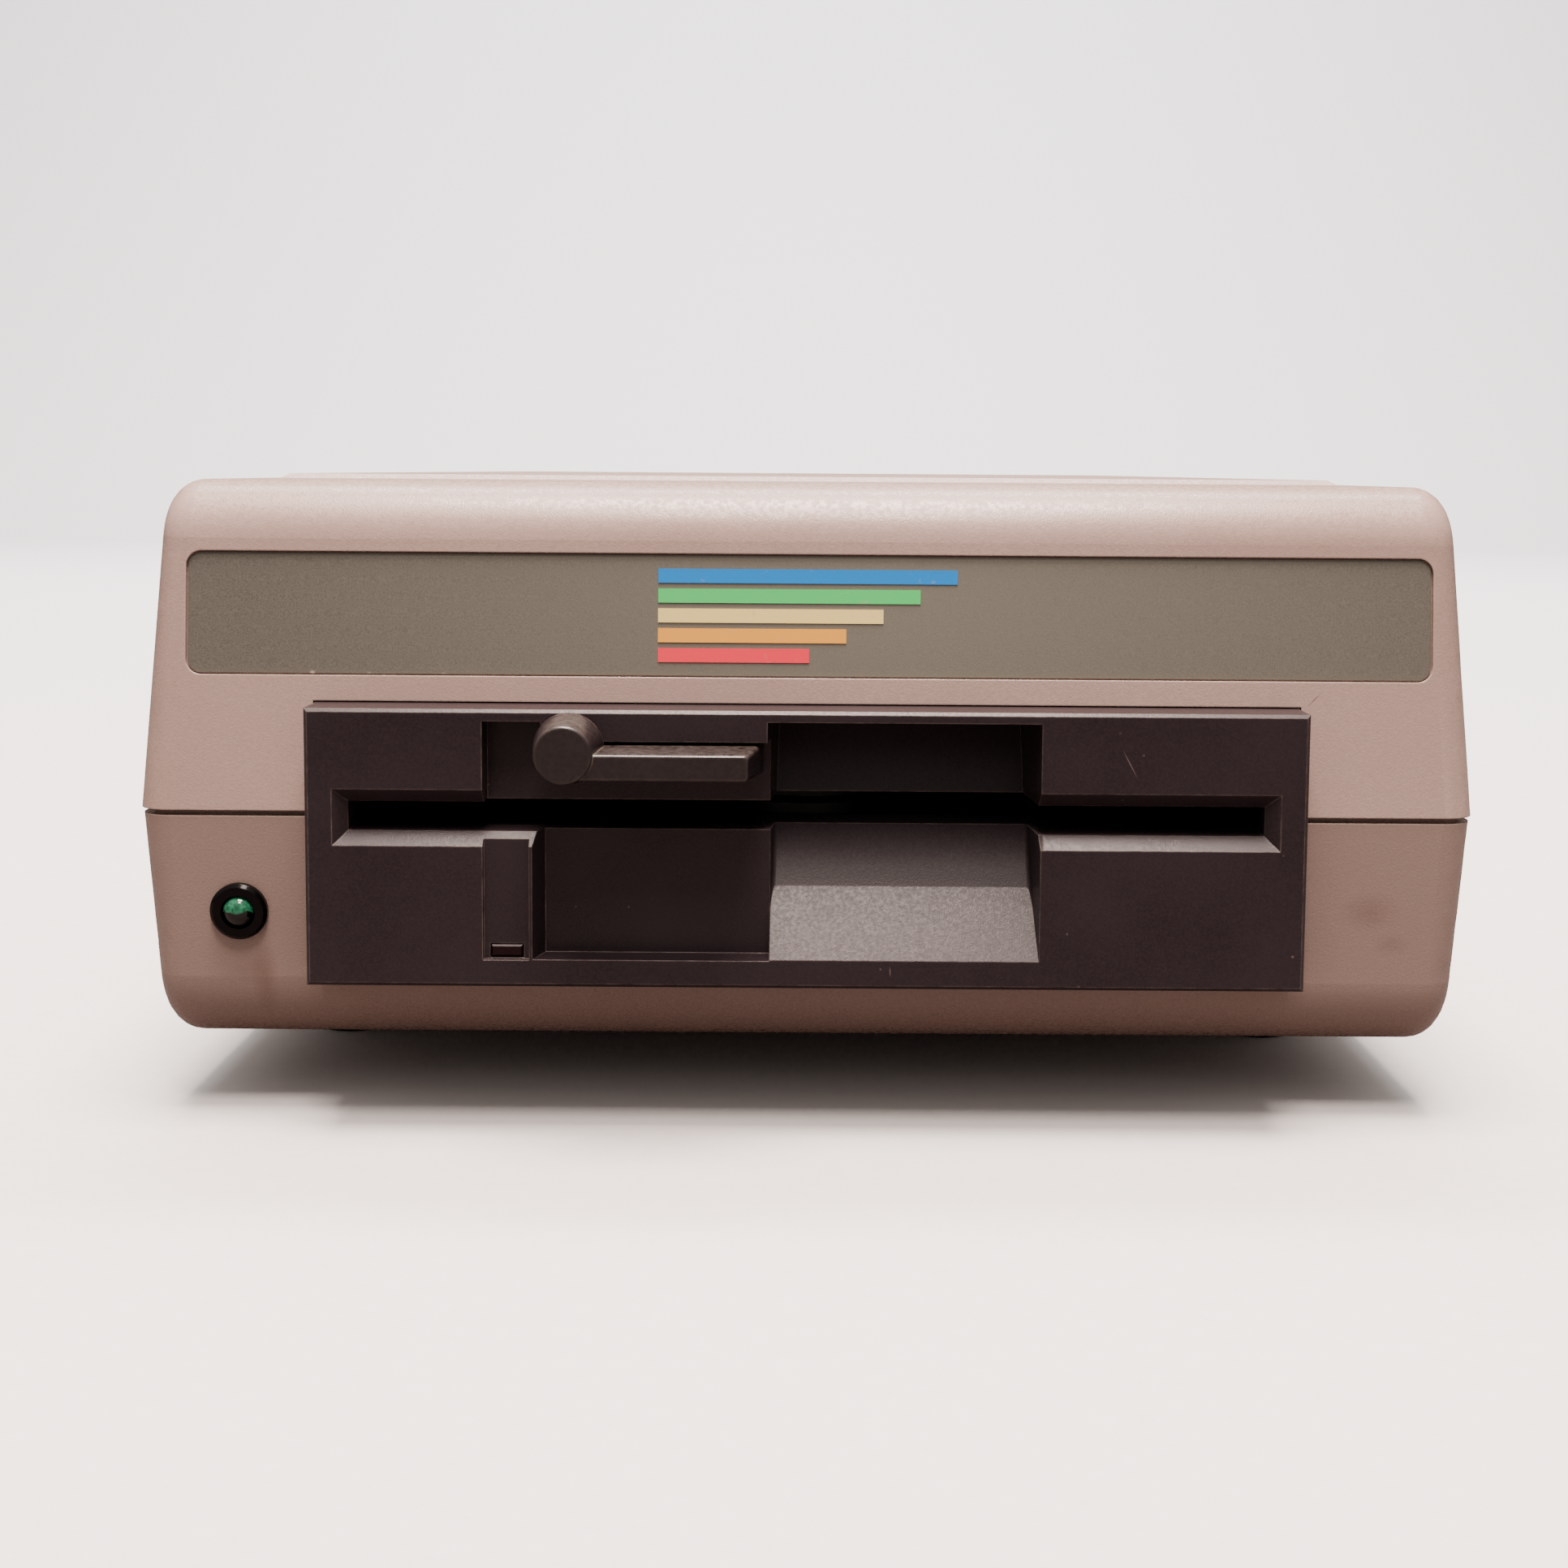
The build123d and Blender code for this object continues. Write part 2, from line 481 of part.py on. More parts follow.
# ---------------------------------------------------------------- lever
# Knob and arm are one moulding. The arm stands over the slot's upper side while the drive is open
# and swings down beside the lamp strip to close it.
KNOB_FACE_R, KNOB_ROOT_R, KNOB_HUB_R, KNOB_HUB_IN = 4.16, 5.2, 4.0, 3.5
ARM_FACE_Y, ARM_FACE_END, ARM_FACE_LOW, ARM_FACE_HIGH = -7.7, 26.2, 7.33, 11.06     # arm's front end
ARM_END, ARM_LOW, ARM_HIGH = 28.2, 6.9, 11.6                                        # arm's back end
SHAFT_SUNK, SHAFT_END = 6.0, 95.0       # the shaft is sunk this far into the hub, and ends at this y
with BuildPart() as lever_knob:
    with BuildSketch(plan(LEVER_H)):
        with BuildLine():
            Polyline((LEVER_X, -KNOB_OUT), (LEVER_X + KNOB_FACE_R, -KNOB_OUT),
                     (LEVER_X + KNOB_ROOT_R, -GAP), (LEVER_X + KNOB_HUB_R, -GAP),
                     (LEVER_X + KNOB_HUB_R, KNOB_HUB_IN), (LEVER_X, KNOB_HUB_IN), close=True)
        make_face()
    revolve(axis=Axis(at(LEVER_X, 0, LEVER_H), (0, 1, 0)))
    fillet(lever_knob.edges().filter_by(GeomType.CIRCLE).sort_by(Axis.Y)[0], 0.5)

with BuildPart() as lever_arm:
    with BuildSketch(front(ARM_FACE_Y)):
        span(LEVER_X, LEVER_X + ARM_FACE_END, ARM_FACE_LOW, ARM_FACE_HIGH)
    with BuildSketch(front(KNOB_HUB_IN)):
        span(LEVER_X, LEVER_X + ARM_END, ARM_LOW, ARM_HIGH)
    loft()
    tip_edges = lever_arm.faces().sort_by(Axis.X)[-1].edges().sort_by(Axis.Z)
    fillet([tip_edges[0], tip_edges[-1]], 0.7)
    fillet(lever_arm.faces().sort_by(Axis.Y)[0].edges(), 0.4)

with BuildPart() as lever:
    add(lever_knob.part)
    add(lever_arm.part)
    with BuildSketch(front(KNOB_HUB_IN)):
        with Locations((LEVER_X, LEVER_H)):
            Circle(SHAFT_R)
    extrude(amount=SHAFT_SUNK, mode=Mode.SUBTRACT)
lever.part.label = "lever"
export_step(lever.part, "parts/lever.step")

with BuildPart() as lever_shaft:
    with BuildSketch(front(KNOB_HUB_IN - SHAFT_SUNK)):
        with Locations((LEVER_X, LEVER_H)):
            Circle(SHAFT_R)
    extrude(amount=-(SHAFT_END - KNOB_HUB_IN + SHAFT_SUNK))
    chamfer(lever_shaft.edges().sort_by(Axis.Y)[-1], 0.6)
lever_shaft.part.label = "lever_shaft"
export_step(lever_shaft.part, "parts/lever_shaft.step")

# The cam presses on the flat top of the clamp arm. Its flank is the envelope of that flat, close to
# an involute, so the arm comes down by the same angle for every degree of the lever.
CAM_GAP = 0.35
CAM_POINTS = 7


def arm_distance(lift):
    """Distance from the lever's axis to the clamp arm's top when the arm is raised by lift."""
    a = radians(lift)
    return (CLAMP_X - LEVER_X) * sin(a) + (LEVER_H - CLAMP_H) * cos(a) + CLAMP_H - ARM_TOP


def cam_point(heading, reach, offset=0.0):
    """Point at reach along a heading counted from straight down towards +X, and offset beside it."""
    a = radians(heading)
    return (LEVER_X + reach * sin(a) + offset * cos(a), LEVER_H - reach * cos(a) + offset * sin(a))


CAM_LOW = arm_distance(CLAMP_LIFT) - CAM_GAP
CAM_HIGH = arm_distance(0) - CAM_GAP
CAM_SLOPE = (CAM_HIGH - CAM_LOW) / radians(LEVER_TURN - CLAMP_LIFT)
flank = []
for k in range(CAM_POINTS):
    share = k / (CAM_POINTS - 1)
    heading = CLAMP_LIFT + (LEVER_TURN - CLAMP_LIFT) * share
    flank.append(cam_point(heading, arm_distance(CLAMP_LIFT * (1 - share)) - CAM_GAP, CAM_SLOPE))
with BuildPart() as lever_cam:
    with BuildSketch(front(70)):
        with BuildLine():
            Spline(*flank)
            Polyline(flank[-1], cam_point(150, CAM_LOW))
            ThreePointArc(cam_point(150, CAM_LOW), cam_point(260, CAM_LOW), cam_point(CLAMP_LIFT, CAM_LOW))
            Polyline(cam_point(CLAMP_LIFT, CAM_LOW), flank[0])
        make_face()
        with Locations((LEVER_X, LEVER_H)):
            Circle(SHAFT_R, mode=Mode.SUBTRACT)
    extrude(amount=-8)
lever_cam.part.label = "lever_cam"
export_step(lever_cam.part, "parts/lever_cam.step")

# ---------------------------------------------------------------- drive chassis
# Die-cast frame: two side walls, a deck with the spindle's ribbed bearing boss, a window for the
# head carriage, two bridges with lugs for the lever's shaft and ears for the clamp arm's hinge pin.
RAIL_X, RAIL_H, RAIL_R = 14.0, -14.0, 3.0
FRONT_LUG, BACK_LUG = (97.0, 100.5), (171.0, 174.5)
EARS = ((59.0, 63.0), (85.4, 89.4))
BRIDGES = ((22.0, 30.0), (88.0, 96.0))
SIDE_IN = BEZEL_W / 2 - 3
BOSS_BOTTOM = -19.0
BEARING_R, BEARING_H = 7.5, 4.0
SPINDLE_R, MOTOR_SHAFT_R, CAPSTAN_SHAFT_R = 3.0, 1.5, 2.5
CLAMP_PIN_R, PAD_PIN_R, CONE_PIN_R = 1.5, 1.2, 2.5
MOTOR_NOSE_R = 8.0      # both motors sit in the deck with a round nose
BEARING_FEET = (BOSS_BOTTOM, DECK_H - 0.5 - BEARING_H)
CHASSIS_SCREWS = [(50, -19), (150, -19)]

with BuildPart() as drive_chassis:
    with BuildSketch(side(-BEZEL_W / 2)):
        with BuildLine():
            Polyline((BEZEL_DEEP, BEZEL_BOTTOM), (CHASSIS_BACK, BEZEL_BOTTOM), (CHASSIS_BACK, 0),
                     (146, 0), (132, BEZEL_TOP - 0.05), (BEZEL_DEEP, BEZEL_TOP - 0.05), close=True)
        make_face()
    extrude(amount=3)
    mirror(about=Plane.YZ)
    with BuildSketch(plan(DECK_H)):
        span(-SIDE_IN - 1, SIDE_IN + 1, BRIDGES[0][0], CHASSIS_BACK)
        span(-20, 20, FRONT_LUG[1], BACK_LUG[0], mode=Mode.SUBTRACT)
        with Locations((MOTOR_X, MOTOR_Y), (STEP_X, STEP_Y)):
            Circle(MOTOR_NOSE_R, mode=Mode.SUBTRACT)
    extrude(amount=-DECK_T)
    with BuildSketch(front(CHASSIS_BACK)):
        span(-SIDE_IN - 1, SIDE_IN + 1, BEZEL_BOTTOM + 4, -2)
    extrude(amount=3)
    # bearing boss with its ribs
    with BuildSketch(plan(DECK_H - 1)):
        with Locations((0, SPINDLE_Y)):
            Circle(BEARING_R + 3)
    extrude(amount=BOSS_BOTTOM - DECK_H + 1)
    with BuildSketch(plan(DECK_H - 1)):
        with Locations((0, SPINDLE_Y)):
            with PolarLocations(18, 6, start_angle=30):
                Rectangle(18, 2)
    extrude(amount=-6)
    for foot in BEARING_FEET:
        with BuildSketch(plan(foot)):
            with Locations((0, SPINDLE_Y)):
                Circle(BEARING_R)
        extrude(amount=BEARING_H, mode=Mode.SUBTRACT)
    with BuildSketch(plan(BOSS_BOTTOM - 1)):
        with Locations((0, SPINDLE_Y)):
            Circle(BEARING_R - 1.5)
    extrude(amount=14, mode=Mode.SUBTRACT)
    # lugs that hold the ends of the carriage rails
    for lug in (FRONT_LUG, BACK_LUG):
        with BuildSketch(front(lug[0])):
            for x in (-RAIL_X, RAIL_X):
                span(x - 5, x + 5, RAIL_H - RAIL_R - 1.2, DECK_H - 1)
                with Locations((x, RAIL_H)):
                    Circle(RAIL_R, mode=Mode.SUBTRACT)
        extrude(amount=lug[0] - lug[1])
    # bridges and the lugs of the lever's shaft
    for bridge in BRIDGES:
        with BuildSketch(front(bridge[0])):
            span(-SIDE_IN - 1, SIDE_IN + 1, LEVER_H + 3.2, BEZEL_TOP - 0.05)
            span(LEVER_X - 5, LEVER_X + 5, LEVER_H - 4.5, LEVER_H + 4)
            with Locations((LEVER_X, LEVER_H)):
                Circle(SHAFT_R + RUN, mode=Mode.SUBTRACT)
        extrude(amount=bridge[0] - bridge[1])
    # ears of the clamp arm's hinge
    for ear in EARS:
        with BuildSketch(front(ear[0])):
            span(-SIDE_IN - 1, CLAMP_X + 3.5, CLAMP_H - 3.5, CLAMP_H + 3.5)
            with Locations((CLAMP_X, CLAMP_H)):
                Circle(CLAMP_PIN_R, mode=Mode.SUBTRACT)
        extrude(amount=ear[0] - ear[1])
    with BuildSketch(side(-BEZEL_W / 2 - PAST)):
        with Locations(*CHASSIS_SCREWS):
            Circle(SMALL_PILOT_R)
    extrude(amount=BEZEL_W + 2 * PAST, mode=Mode.SUBTRACT)
drive_chassis.part.label = "drive_chassis"
export_step(drive_chassis.part, "parts/drive_chassis.step")

# ---------------------------------------------------------------- disk guides and sensor
# Moulded channels along both sides of the bay, and the U-shaped sensor of the write-protect notch.
GUIDE_FRONT, GUIDE_BACK = 40.0, 126.0
GUIDE_IN, CHANNEL_IN, LIP_IN, LIP_T = 61.0, 67.3, 63.0, 1.8     # half widths of the channel
LEDGE_H, LIP_H = SLOT_BOTTOM - 0.05, SLOT_TOP + 0.05
for name, hand in (("disk_guide_left", -1), ("disk_guide_right", 1)):
    with BuildPart() as guide:
        with BuildSketch(front(GUIDE_FRONT)):
            with BuildLine():
                Polyline((hand * SIDE_IN, DECK_H), (hand * GUIDE_IN, DECK_H), (hand * GUIDE_IN, LEDGE_H),
                         (hand * CHANNEL_IN, LEDGE_H), (hand * CHANNEL_IN, LIP_H),
                         (hand * LIP_IN, LIP_H), (hand * LIP_IN, LIP_H + LIP_T),
                         (hand * SIDE_IN, LIP_H + LIP_T), close=True)
            make_face()
        extrude(amount=GUIDE_FRONT - GUIDE_BACK)
        # hollow under the ledge
        with BuildSketch(front(GUIDE_FRONT - PAST)):
            span(hand * (GUIDE_IN + 1.5), hand * (SIDE_IN - 1.5), DECK_H - PAST, LEDGE_H - 1.5)
        extrude(amount=GUIDE_FRONT - GUIDE_BACK - 2 * PAST, mode=Mode.SUBTRACT)
    guide.part.label = name
    export_step(guide.part, f"parts/{name}.step")

with BuildPart() as notch_sensor:
    with BuildSketch(front(28)):
        span(-SIDE_IN, -60, DECK_H, 7)
        span(-67.2, -59, LEDGE_H, LIP_H, mode=Mode.SUBTRACT)
    extrude(amount=-8)
    chamfer(notch_sensor.edges().filter_by(Axis.Y).sort_by(Axis.X)[-1], 0.8)
notch_sensor.part.label = "notch_sensor"
export_step(notch_sensor.part, "parts/notch_sensor.step")

# ---------------------------------------------------------------- spindle
# The hub turns on a steel shaft in two ball bearings. Its flat flywheel is the belt's big pulley.
HUB_TOP = SLOT_BOTTOM - 0.15
WHEEL_BOTTOM, WHEEL_TOP = -23.4, -19.7
SPIN_AXIS = Axis(at(0, SPINDLE_Y, 0), (0, 0, 1))

with BuildPart() as spindle_bearings:
    for foot in BEARING_FEET:
        with BuildSketch(plan(foot)):
            with Locations((0, SPINDLE_Y)):
                Circle(BEARING_R)
                Circle(SPINDLE_R + RUN / 2, mode=Mode.SUBTRACT)
        extrude(amount=BEARING_H)
spindle_bearings.part.label = "spindle_bearings"
export_step(spindle_bearings.part, "parts/spindle_bearings.step")

with BuildPart() as spindle_hub:
    with BuildSketch(front(SPINDLE_Y)):
        with BuildLine():
            Polyline((3, -7.6), (19, -7.6), (19, -5.8), (17.3, -4.8), (17.3, HUB_TOP - 0.4),
                     (16.9, HUB_TOP), (14.4, HUB_TOP), (13.9, HUB_TOP - 0.5), (13.9, -5.5), (3, -5.5),
                     close=True)
        make_face()
    revolve(axis=SPIN_AXIS)
spindle_hub.part.label = "spindle_hub"
export_step(spindle_hub.part, "parts/spindle_hub.step")

with BuildPart() as spindle_shaft:
    with BuildSketch(plan(WHEEL_BOTTOM)):
        with Locations((0, SPINDLE_Y)):
            Circle(SPINDLE_R)
    extrude(amount=-5.5 - WHEEL_BOTTOM)
spindle_shaft.part.label = "spindle_shaft"
export_step(spindle_shaft.part, "parts/spindle_shaft.step")

with BuildPart() as flywheel:
    with BuildSketch(front(SPINDLE_Y)):
        with BuildLine():
            Polyline((3, WHEEL_BOTTOM), (7, WHEEL_BOTTOM), (7, -22.4), (24, -22.4),
                     (24.5, WHEEL_BOTTOM), (FLYWHEEL_R, WHEEL_BOTTOM), (FLYWHEEL_R, WHEEL_TOP),
                     (24.5, WHEEL_TOP), (24, -20.9), (7, -20.9), (7, WHEEL_TOP), (3, WHEEL_TOP),
                     close=True)
        make_face()
    revolve(axis=SPIN_AXIS)
flywheel.part.label = "flywheel"
export_step(flywheel.part, "parts/flywheel.step")

# ---------------------------------------------------------------- belt and spindle motor
BELT_GAP, BELT_T, BELT_FOOT, BELT_H = 0.2, 0.7, -22.9, 2.4
MOTOR_R, MOTOR_H = 17.0, 22.0
with BuildPart() as drive_belt:
    for spread, mode in ((BELT_GAP + BELT_T, Mode.ADD), (BELT_GAP, Mode.SUBTRACT)):
        with BuildSketch(plan(BELT_FOOT)):
            with Locations((0, SPINDLE_Y)):
                Circle(FLYWHEEL_R + spread)
            with Locations((MOTOR_X, MOTOR_Y)):
                Circle(PULLEY_R + spread)
            make_hull()
        extrude(amount=BELT_H, mode=mode)
drive_belt.part.label = "drive_belt"
export_step(drive_belt.part, "parts/drive_belt.step")

with BuildPart() as spindle_motor:
    with BuildSketch(plan(DECK_H)):
        with Locations((MOTOR_X, MOTOR_Y)):
            Circle(MOTOR_R)
    extrude(amount=MOTOR_H)
    fillet(spindle_motor.edges().sort_by(Axis.Z)[-1], 1.5)
    with BuildSketch(plan(DECK_H)):
        with Locations((MOTOR_X, MOTOR_Y)):
            Circle(MOTOR_NOSE_R)
    extrude(amount=-DECK_T)
    with BuildSketch(plan(DECK_H - DECK_T - PAST)):
        with Locations((MOTOR_X, MOTOR_Y)):
            Circle(MOTOR_SHAFT_R + RUN)
    extrude(amount=12, mode=Mode.SUBTRACT)
spindle_motor.part.label = "spindle_motor"
export_step(spindle_motor.part, "parts/spindle_motor.step")

with BuildPart() as motor_shaft:
    with BuildSketch(plan(WHEEL_BOTTOM)):
        with Locations((MOTOR_X, MOTOR_Y)):
            Circle(MOTOR_SHAFT_R)
    extrude(amount=21)
motor_shaft.part.label = "motor_shaft"
export_step(motor_shaft.part, "parts/motor_shaft.step")

with BuildPart() as motor_pulley:
    with BuildSketch(front(MOTOR_Y)):
        with BuildLine():
            Polyline((MOTOR_X + MOTOR_SHAFT_R, WHEEL_BOTTOM), (MOTOR_X + PULLEY_R, WHEEL_BOTTOM),
                     (MOTOR_X + PULLEY_R, -20.2), (MOTOR_X + PULLEY_R + 1.2, -19.9),
                     (MOTOR_X + PULLEY_R + 1.2, -19.3), (MOTOR_X + 3, -19.3), (MOTOR_X + 3, -16),
                     (MOTOR_X + MOTOR_SHAFT_R, -16), close=True)
        make_face()
    revolve(axis=Axis(at(MOTOR_X, MOTOR_Y, 0), (0, 0, 1)))
motor_pulley.part.label = "motor_pulley"
export_step(motor_pulley.part, "parts/motor_pulley.step")

# ---------------------------------------------------------------- stepper motor
# It turns 3.6 degrees a track. A steel band wraps its capstan and pulls the carriage; the straight
# run of the band is made, and its wrap round the capstan is left out.
CAPSTAN_FOOT, CAPSTAN_TOP = -17.0, -12.0
STEPPER_R, STEPPER_H = 21.0, 18.0
with BuildPart() as stepper_motor:
    with BuildSketch(plan(DECK_H)):
        with Locations((STEP_X, STEP_Y)):
            Circle(STEPPER_R)
    extrude(amount=STEPPER_H)
    chamfer(stepper_motor.edges().sort_by(Axis.Z)[-1], 1)
    with BuildSketch(plan(DECK_H)):
        with Locations((STEP_X, STEP_Y)):
            SlotOverall(54, 12, rotation=90)
            with Locations((0, 23), (0, -23)):
                Circle(1.7, mode=Mode.SUBTRACT)
    extrude(amount=1.6)
    with BuildSketch(plan(DECK_H)):
        with Locations((STEP_X, STEP_Y)):
            Circle(MOTOR_NOSE_R)
    extrude(amount=-DECK_T)
    with BuildSketch(plan(DECK_H - DECK_T - PAST)):
        with Locations((STEP_X, STEP_Y)):
            Circle(CAPSTAN_SHAFT_R + RUN)
    extrude(amount=14, mode=Mode.SUBTRACT)
stepper_motor.part.label = "stepper_motor"
export_step(stepper_motor.part, "parts/stepper_motor.step")

with BuildPart() as stepper_capstan:
    with BuildSketch(plan(CAPSTAN_FOOT)):
        with Locations((STEP_X, STEP_Y)):
            Circle(CAPSTAN_R)
    extrude(amount=CAPSTAN_TOP - CAPSTAN_FOOT)
    with BuildSketch(plan(CAPSTAN_TOP)):
        with Locations((STEP_X, STEP_Y)):
            Circle(CAPSTAN_SHAFT_R)
    extrude(amount=12)
    # flat for the band's clamp on the far side
    with BuildSketch(plan(CAPSTAN_FOOT - PAST)):
        span(STEP_X - CAPSTAN_R - PAST, STEP_X - CAPSTAN_R + 1.2, STEP_Y - 8, STEP_Y + 8)
    extrude(amount=CAPSTAN_TOP - CAPSTAN_FOOT + 2 * PAST, mode=Mode.SUBTRACT)
stepper_capstan.part.label = "stepper_capstan"
export_step(stepper_capstan.part, "parts/stepper_capstan.step")

# ---------------------------------------------------------------- head carriage
# It slides on two rails, one in a round bore and one in a fork. An outrigger holds both ends of
# the band. The head stands under the disk, and the pad arm is hinged behind the disk's edge.
BODY_FRONT, BODY_BACK = HEAD_Y - 12, HEAD_Y + 36
PAD_HINGE_Y, PAD_HINGE_H = HEAD_Y + 33, 6.0
PAD_AXIS = Axis(at(0, PAD_HINGE_Y, PAD_HINGE_H), (1, 0, 0))
BAND_X = STEP_X + CAPSTAN_R + 0.15
BAND_T = 0.2
STUBS = ((BODY_FRONT + 18, BODY_FRONT + 22), (196.0, 200.0))
HEAD_FOOT = -2.6

with BuildPart() as carriage_rails:
    with BuildSketch(front(FRONT_LUG[0])):
        with Locations((-RAIL_X, RAIL_H), (RAIL_X, RAIL_H)):
            Circle(RAIL_R)
    extrude(amount=FRONT_LUG[0] - BACK_LUG[1])
carriage_rails.part.label = "carriage_rails"
export_step(carriage_rails.part, "parts/carriage_rails.step")

with BuildPart() as head_carriage:
    with BuildSketch(front(BODY_FRONT)):
        span(-19.3, 19.3, -18, -10.6)
        with Locations((-RAIL_X, RAIL_H), (RAIL_X, RAIL_H)):
            Circle(RAIL_R + RUN, mode=Mode.SUBTRACT)
        span(RAIL_X, 20, RAIL_H - RAIL_R - RUN, RAIL_H + RAIL_R + RUN, mode=Mode.SUBTRACT)
    extrude(amount=BODY_FRONT - BODY_BACK)
    with BuildSketch(plan(-11)):
        span(-9, 9, HEAD_Y - 10, HEAD_Y + 10)
        span(-8, 8, PAD_HINGE_Y - 3, PAD_HINGE_Y + 3)
        span(-2, 2, HEAD_Y, PAD_HINGE_Y)
    extrude(amount=HEAD_FOOT + 11)
    with BuildSketch(side(-8)):
        span(PAD_HINGE_Y - 3, PAD_HINGE_Y + 3, HEAD_FOOT - 1, PAD_HINGE_H)
        with Locations((PAD_HINGE_Y, PAD_HINGE_H)):
            Circle(3)
            Circle(PAD_PIN_R, mode=Mode.SUBTRACT)
    extrude(amount=16)
    with BuildSketch(front(PAD_HINGE_Y - 4)):
        span(-5.3, 5.3, 2.6, 12)
    extrude(amount=-8, mode=Mode.SUBTRACT)
    with BuildSketch(plan(CAPSTAN_FOOT)):
        span(BAND_X + 2.2, BAND_X + 6.2, STUBS[0][0], STUBS[1][1])
        span(BAND_X + BAND_T, -18, *STUBS[0])
        span(BAND_X + BAND_T, BAND_X + 4, *STUBS[1])
    extrude(amount=4.5)
head_carriage.part.label = "head_carriage"
export_step(head_carriage.part, "parts/head_carriage.step")

with BuildPart() as head_band:
    with BuildSketch(plan(CAPSTAN_FOOT + 0.5)):
        span(BAND_X, BAND_X + BAND_T, STUBS[0][0], STUBS[1][1])
    extrude(amount=3.5)
head_band.part.label = "head_band"
export_step(head_band.part, "parts/head_band.step")

with BuildPart() as magnetic_head:
    with BuildSketch(plan(HEAD_FOOT)):
        with Locations((0, HEAD_Y)):
            Circle(6)
    extrude(amount=0.8)
    with BuildSketch(plan(HEAD_FOOT)):
        with Locations((0, HEAD_Y)):
            Circle(3.4)
    extrude(amount=1.6)
    fillet(magnetic_head.edges().sort_by(Axis.Z)[-1], 0.5)
magnetic_head.part.label = "magnetic_head"
export_step(magnetic_head.part, "parts/magnetic_head.step")

with BuildPart() as pad_arm_pin:
    with BuildSketch(side(-8)):
        with Locations((PAD_HINGE_Y, PAD_HINGE_H)):
            Circle(PAD_PIN_R)
    extrude(amount=16)
pad_arm_pin.part.label = "pad_arm_pin"
export_step(pad_arm_pin.part, "parts/pad_arm_pin.step")

# The pad arm is drawn lying on the disk, then raised to where it waits while the drive is open.
with BuildPart() as pad_arm_down:
    with BuildSketch(side(-5)):
        span(HEAD_Y - 5, PAD_HINGE_Y, PAD_HINGE_H - 1.4, PAD_HINGE_H + 0.2)
        with Locations((PAD_HINGE_Y, PAD_HINGE_H)):
            Circle(2.6)
            Circle(PAD_PIN_R + RUN, mode=Mode.SUBTRACT)
    extrude(amount=10)
    with BuildSketch(plan(0.5)):
        with Locations((0, HEAD_Y)):
            Circle(3.6)
    extrude(amount=PAD_HINGE_H - 1.4 - 0.5)
pad_arm = pad_arm_down.part.rotate(PAD_AXIS, -PAD_LIFT)
pad_arm.label = "pad_arm"
export_step(pad_arm, "parts/pad_arm.step")

with BuildPart() as pad_down:
    with BuildSketch(plan(-0.7)):
        with Locations((0, HEAD_Y)):
            Circle(3)
    extrude(amount=1.2)
pressure_pad = pad_down.part.rotate(PAD_AXIS, -PAD_LIFT)
pressure_pad.label = "pressure_pad"
export_step(pressure_pad, "parts/pressure_pad.step")

# ---------------------------------------------------------------- clamp arm and cone
# Drawn closed, with the cone in the hub, then raised about the hinge pin to the open position.
CLAMP_AXIS = Axis(at(CLAMP_X, 0, CLAMP_H), (0, 1, 0))
ARM_FRONT, ARM_BACK = 64.0, 84.0
ARM_FOOT = ARM_TOP - ARM_T
BUSH_TOP = ARM_TOP + 2.0

with BuildPart() as clamp_pin:
    with BuildSketch(front(EARS[0][0])):
        with Locations((CLAMP_X, CLAMP_H)):
            Circle(CLAMP_PIN_R)
    extrude(amount=EARS[0][0] - EARS[1][1])
clamp_pin.part.label = "clamp_pin"
export_step(clamp_pin.part, "parts/clamp_pin.step")

with BuildPart() as clamp_arm_down:
    with BuildSketch(front(ARM_FRONT)):
        with BuildLine():
            Polyline((CLAMP_X, CLAMP_H - 2.4), (-57.4, ARM_FOOT), (12, ARM_FOOT), (12, ARM_TOP),
                     (-56.8, ARM_TOP), (CLAMP_X + 2.2, CLAMP_H - 0.6), close=True)
        make_face()
    extrude(amount=ARM_FRONT - ARM_BACK)
    with BuildSketch(front(EARS[0][1] + GAP)):
        with Locations((CLAMP_X, CLAMP_H)):
            Circle(2.7)
    extrude(amount=EARS[0][1] - EARS[1][0] + 2 * GAP)
    # turned-up edges stiffen the free end
    with BuildSketch(plan(ARM_FOOT)):
        span(-20, 12, ARM_FRONT, ARM_FRONT + 1.2)
        span(-20, 12, ARM_BACK - 1.2, ARM_BACK)
    extrude(amount=4.4)
    with BuildSketch(plan(ARM_FOOT)):
        with Locations((0, SPINDLE_Y)):
            Circle(6)
    extrude(amount=BUSH_TOP - ARM_FOOT)
    with BuildSketch(plan(ARM_FOOT - 1)):
        with Locations((0, SPINDLE_Y)):
            Circle(CONE_PIN_R + RUN)
    extrude(amount=10, mode=Mode.SUBTRACT)
    with BuildSketch(front(EARS[0][0])):
        with Locations((CLAMP_X, CLAMP_H)):
            Circle(CLAMP_PIN_R + RUN)
    extrude(amount=EARS[0][0] - EARS[1][1], mode=Mode.SUBTRACT)
clamp_arm = clamp_arm_down.part.rotate(CLAMP_AXIS, -CLAMP_LIFT)
clamp_arm.label = "clamp_arm"
export_step(clamp_arm, "parts/clamp_arm.step")

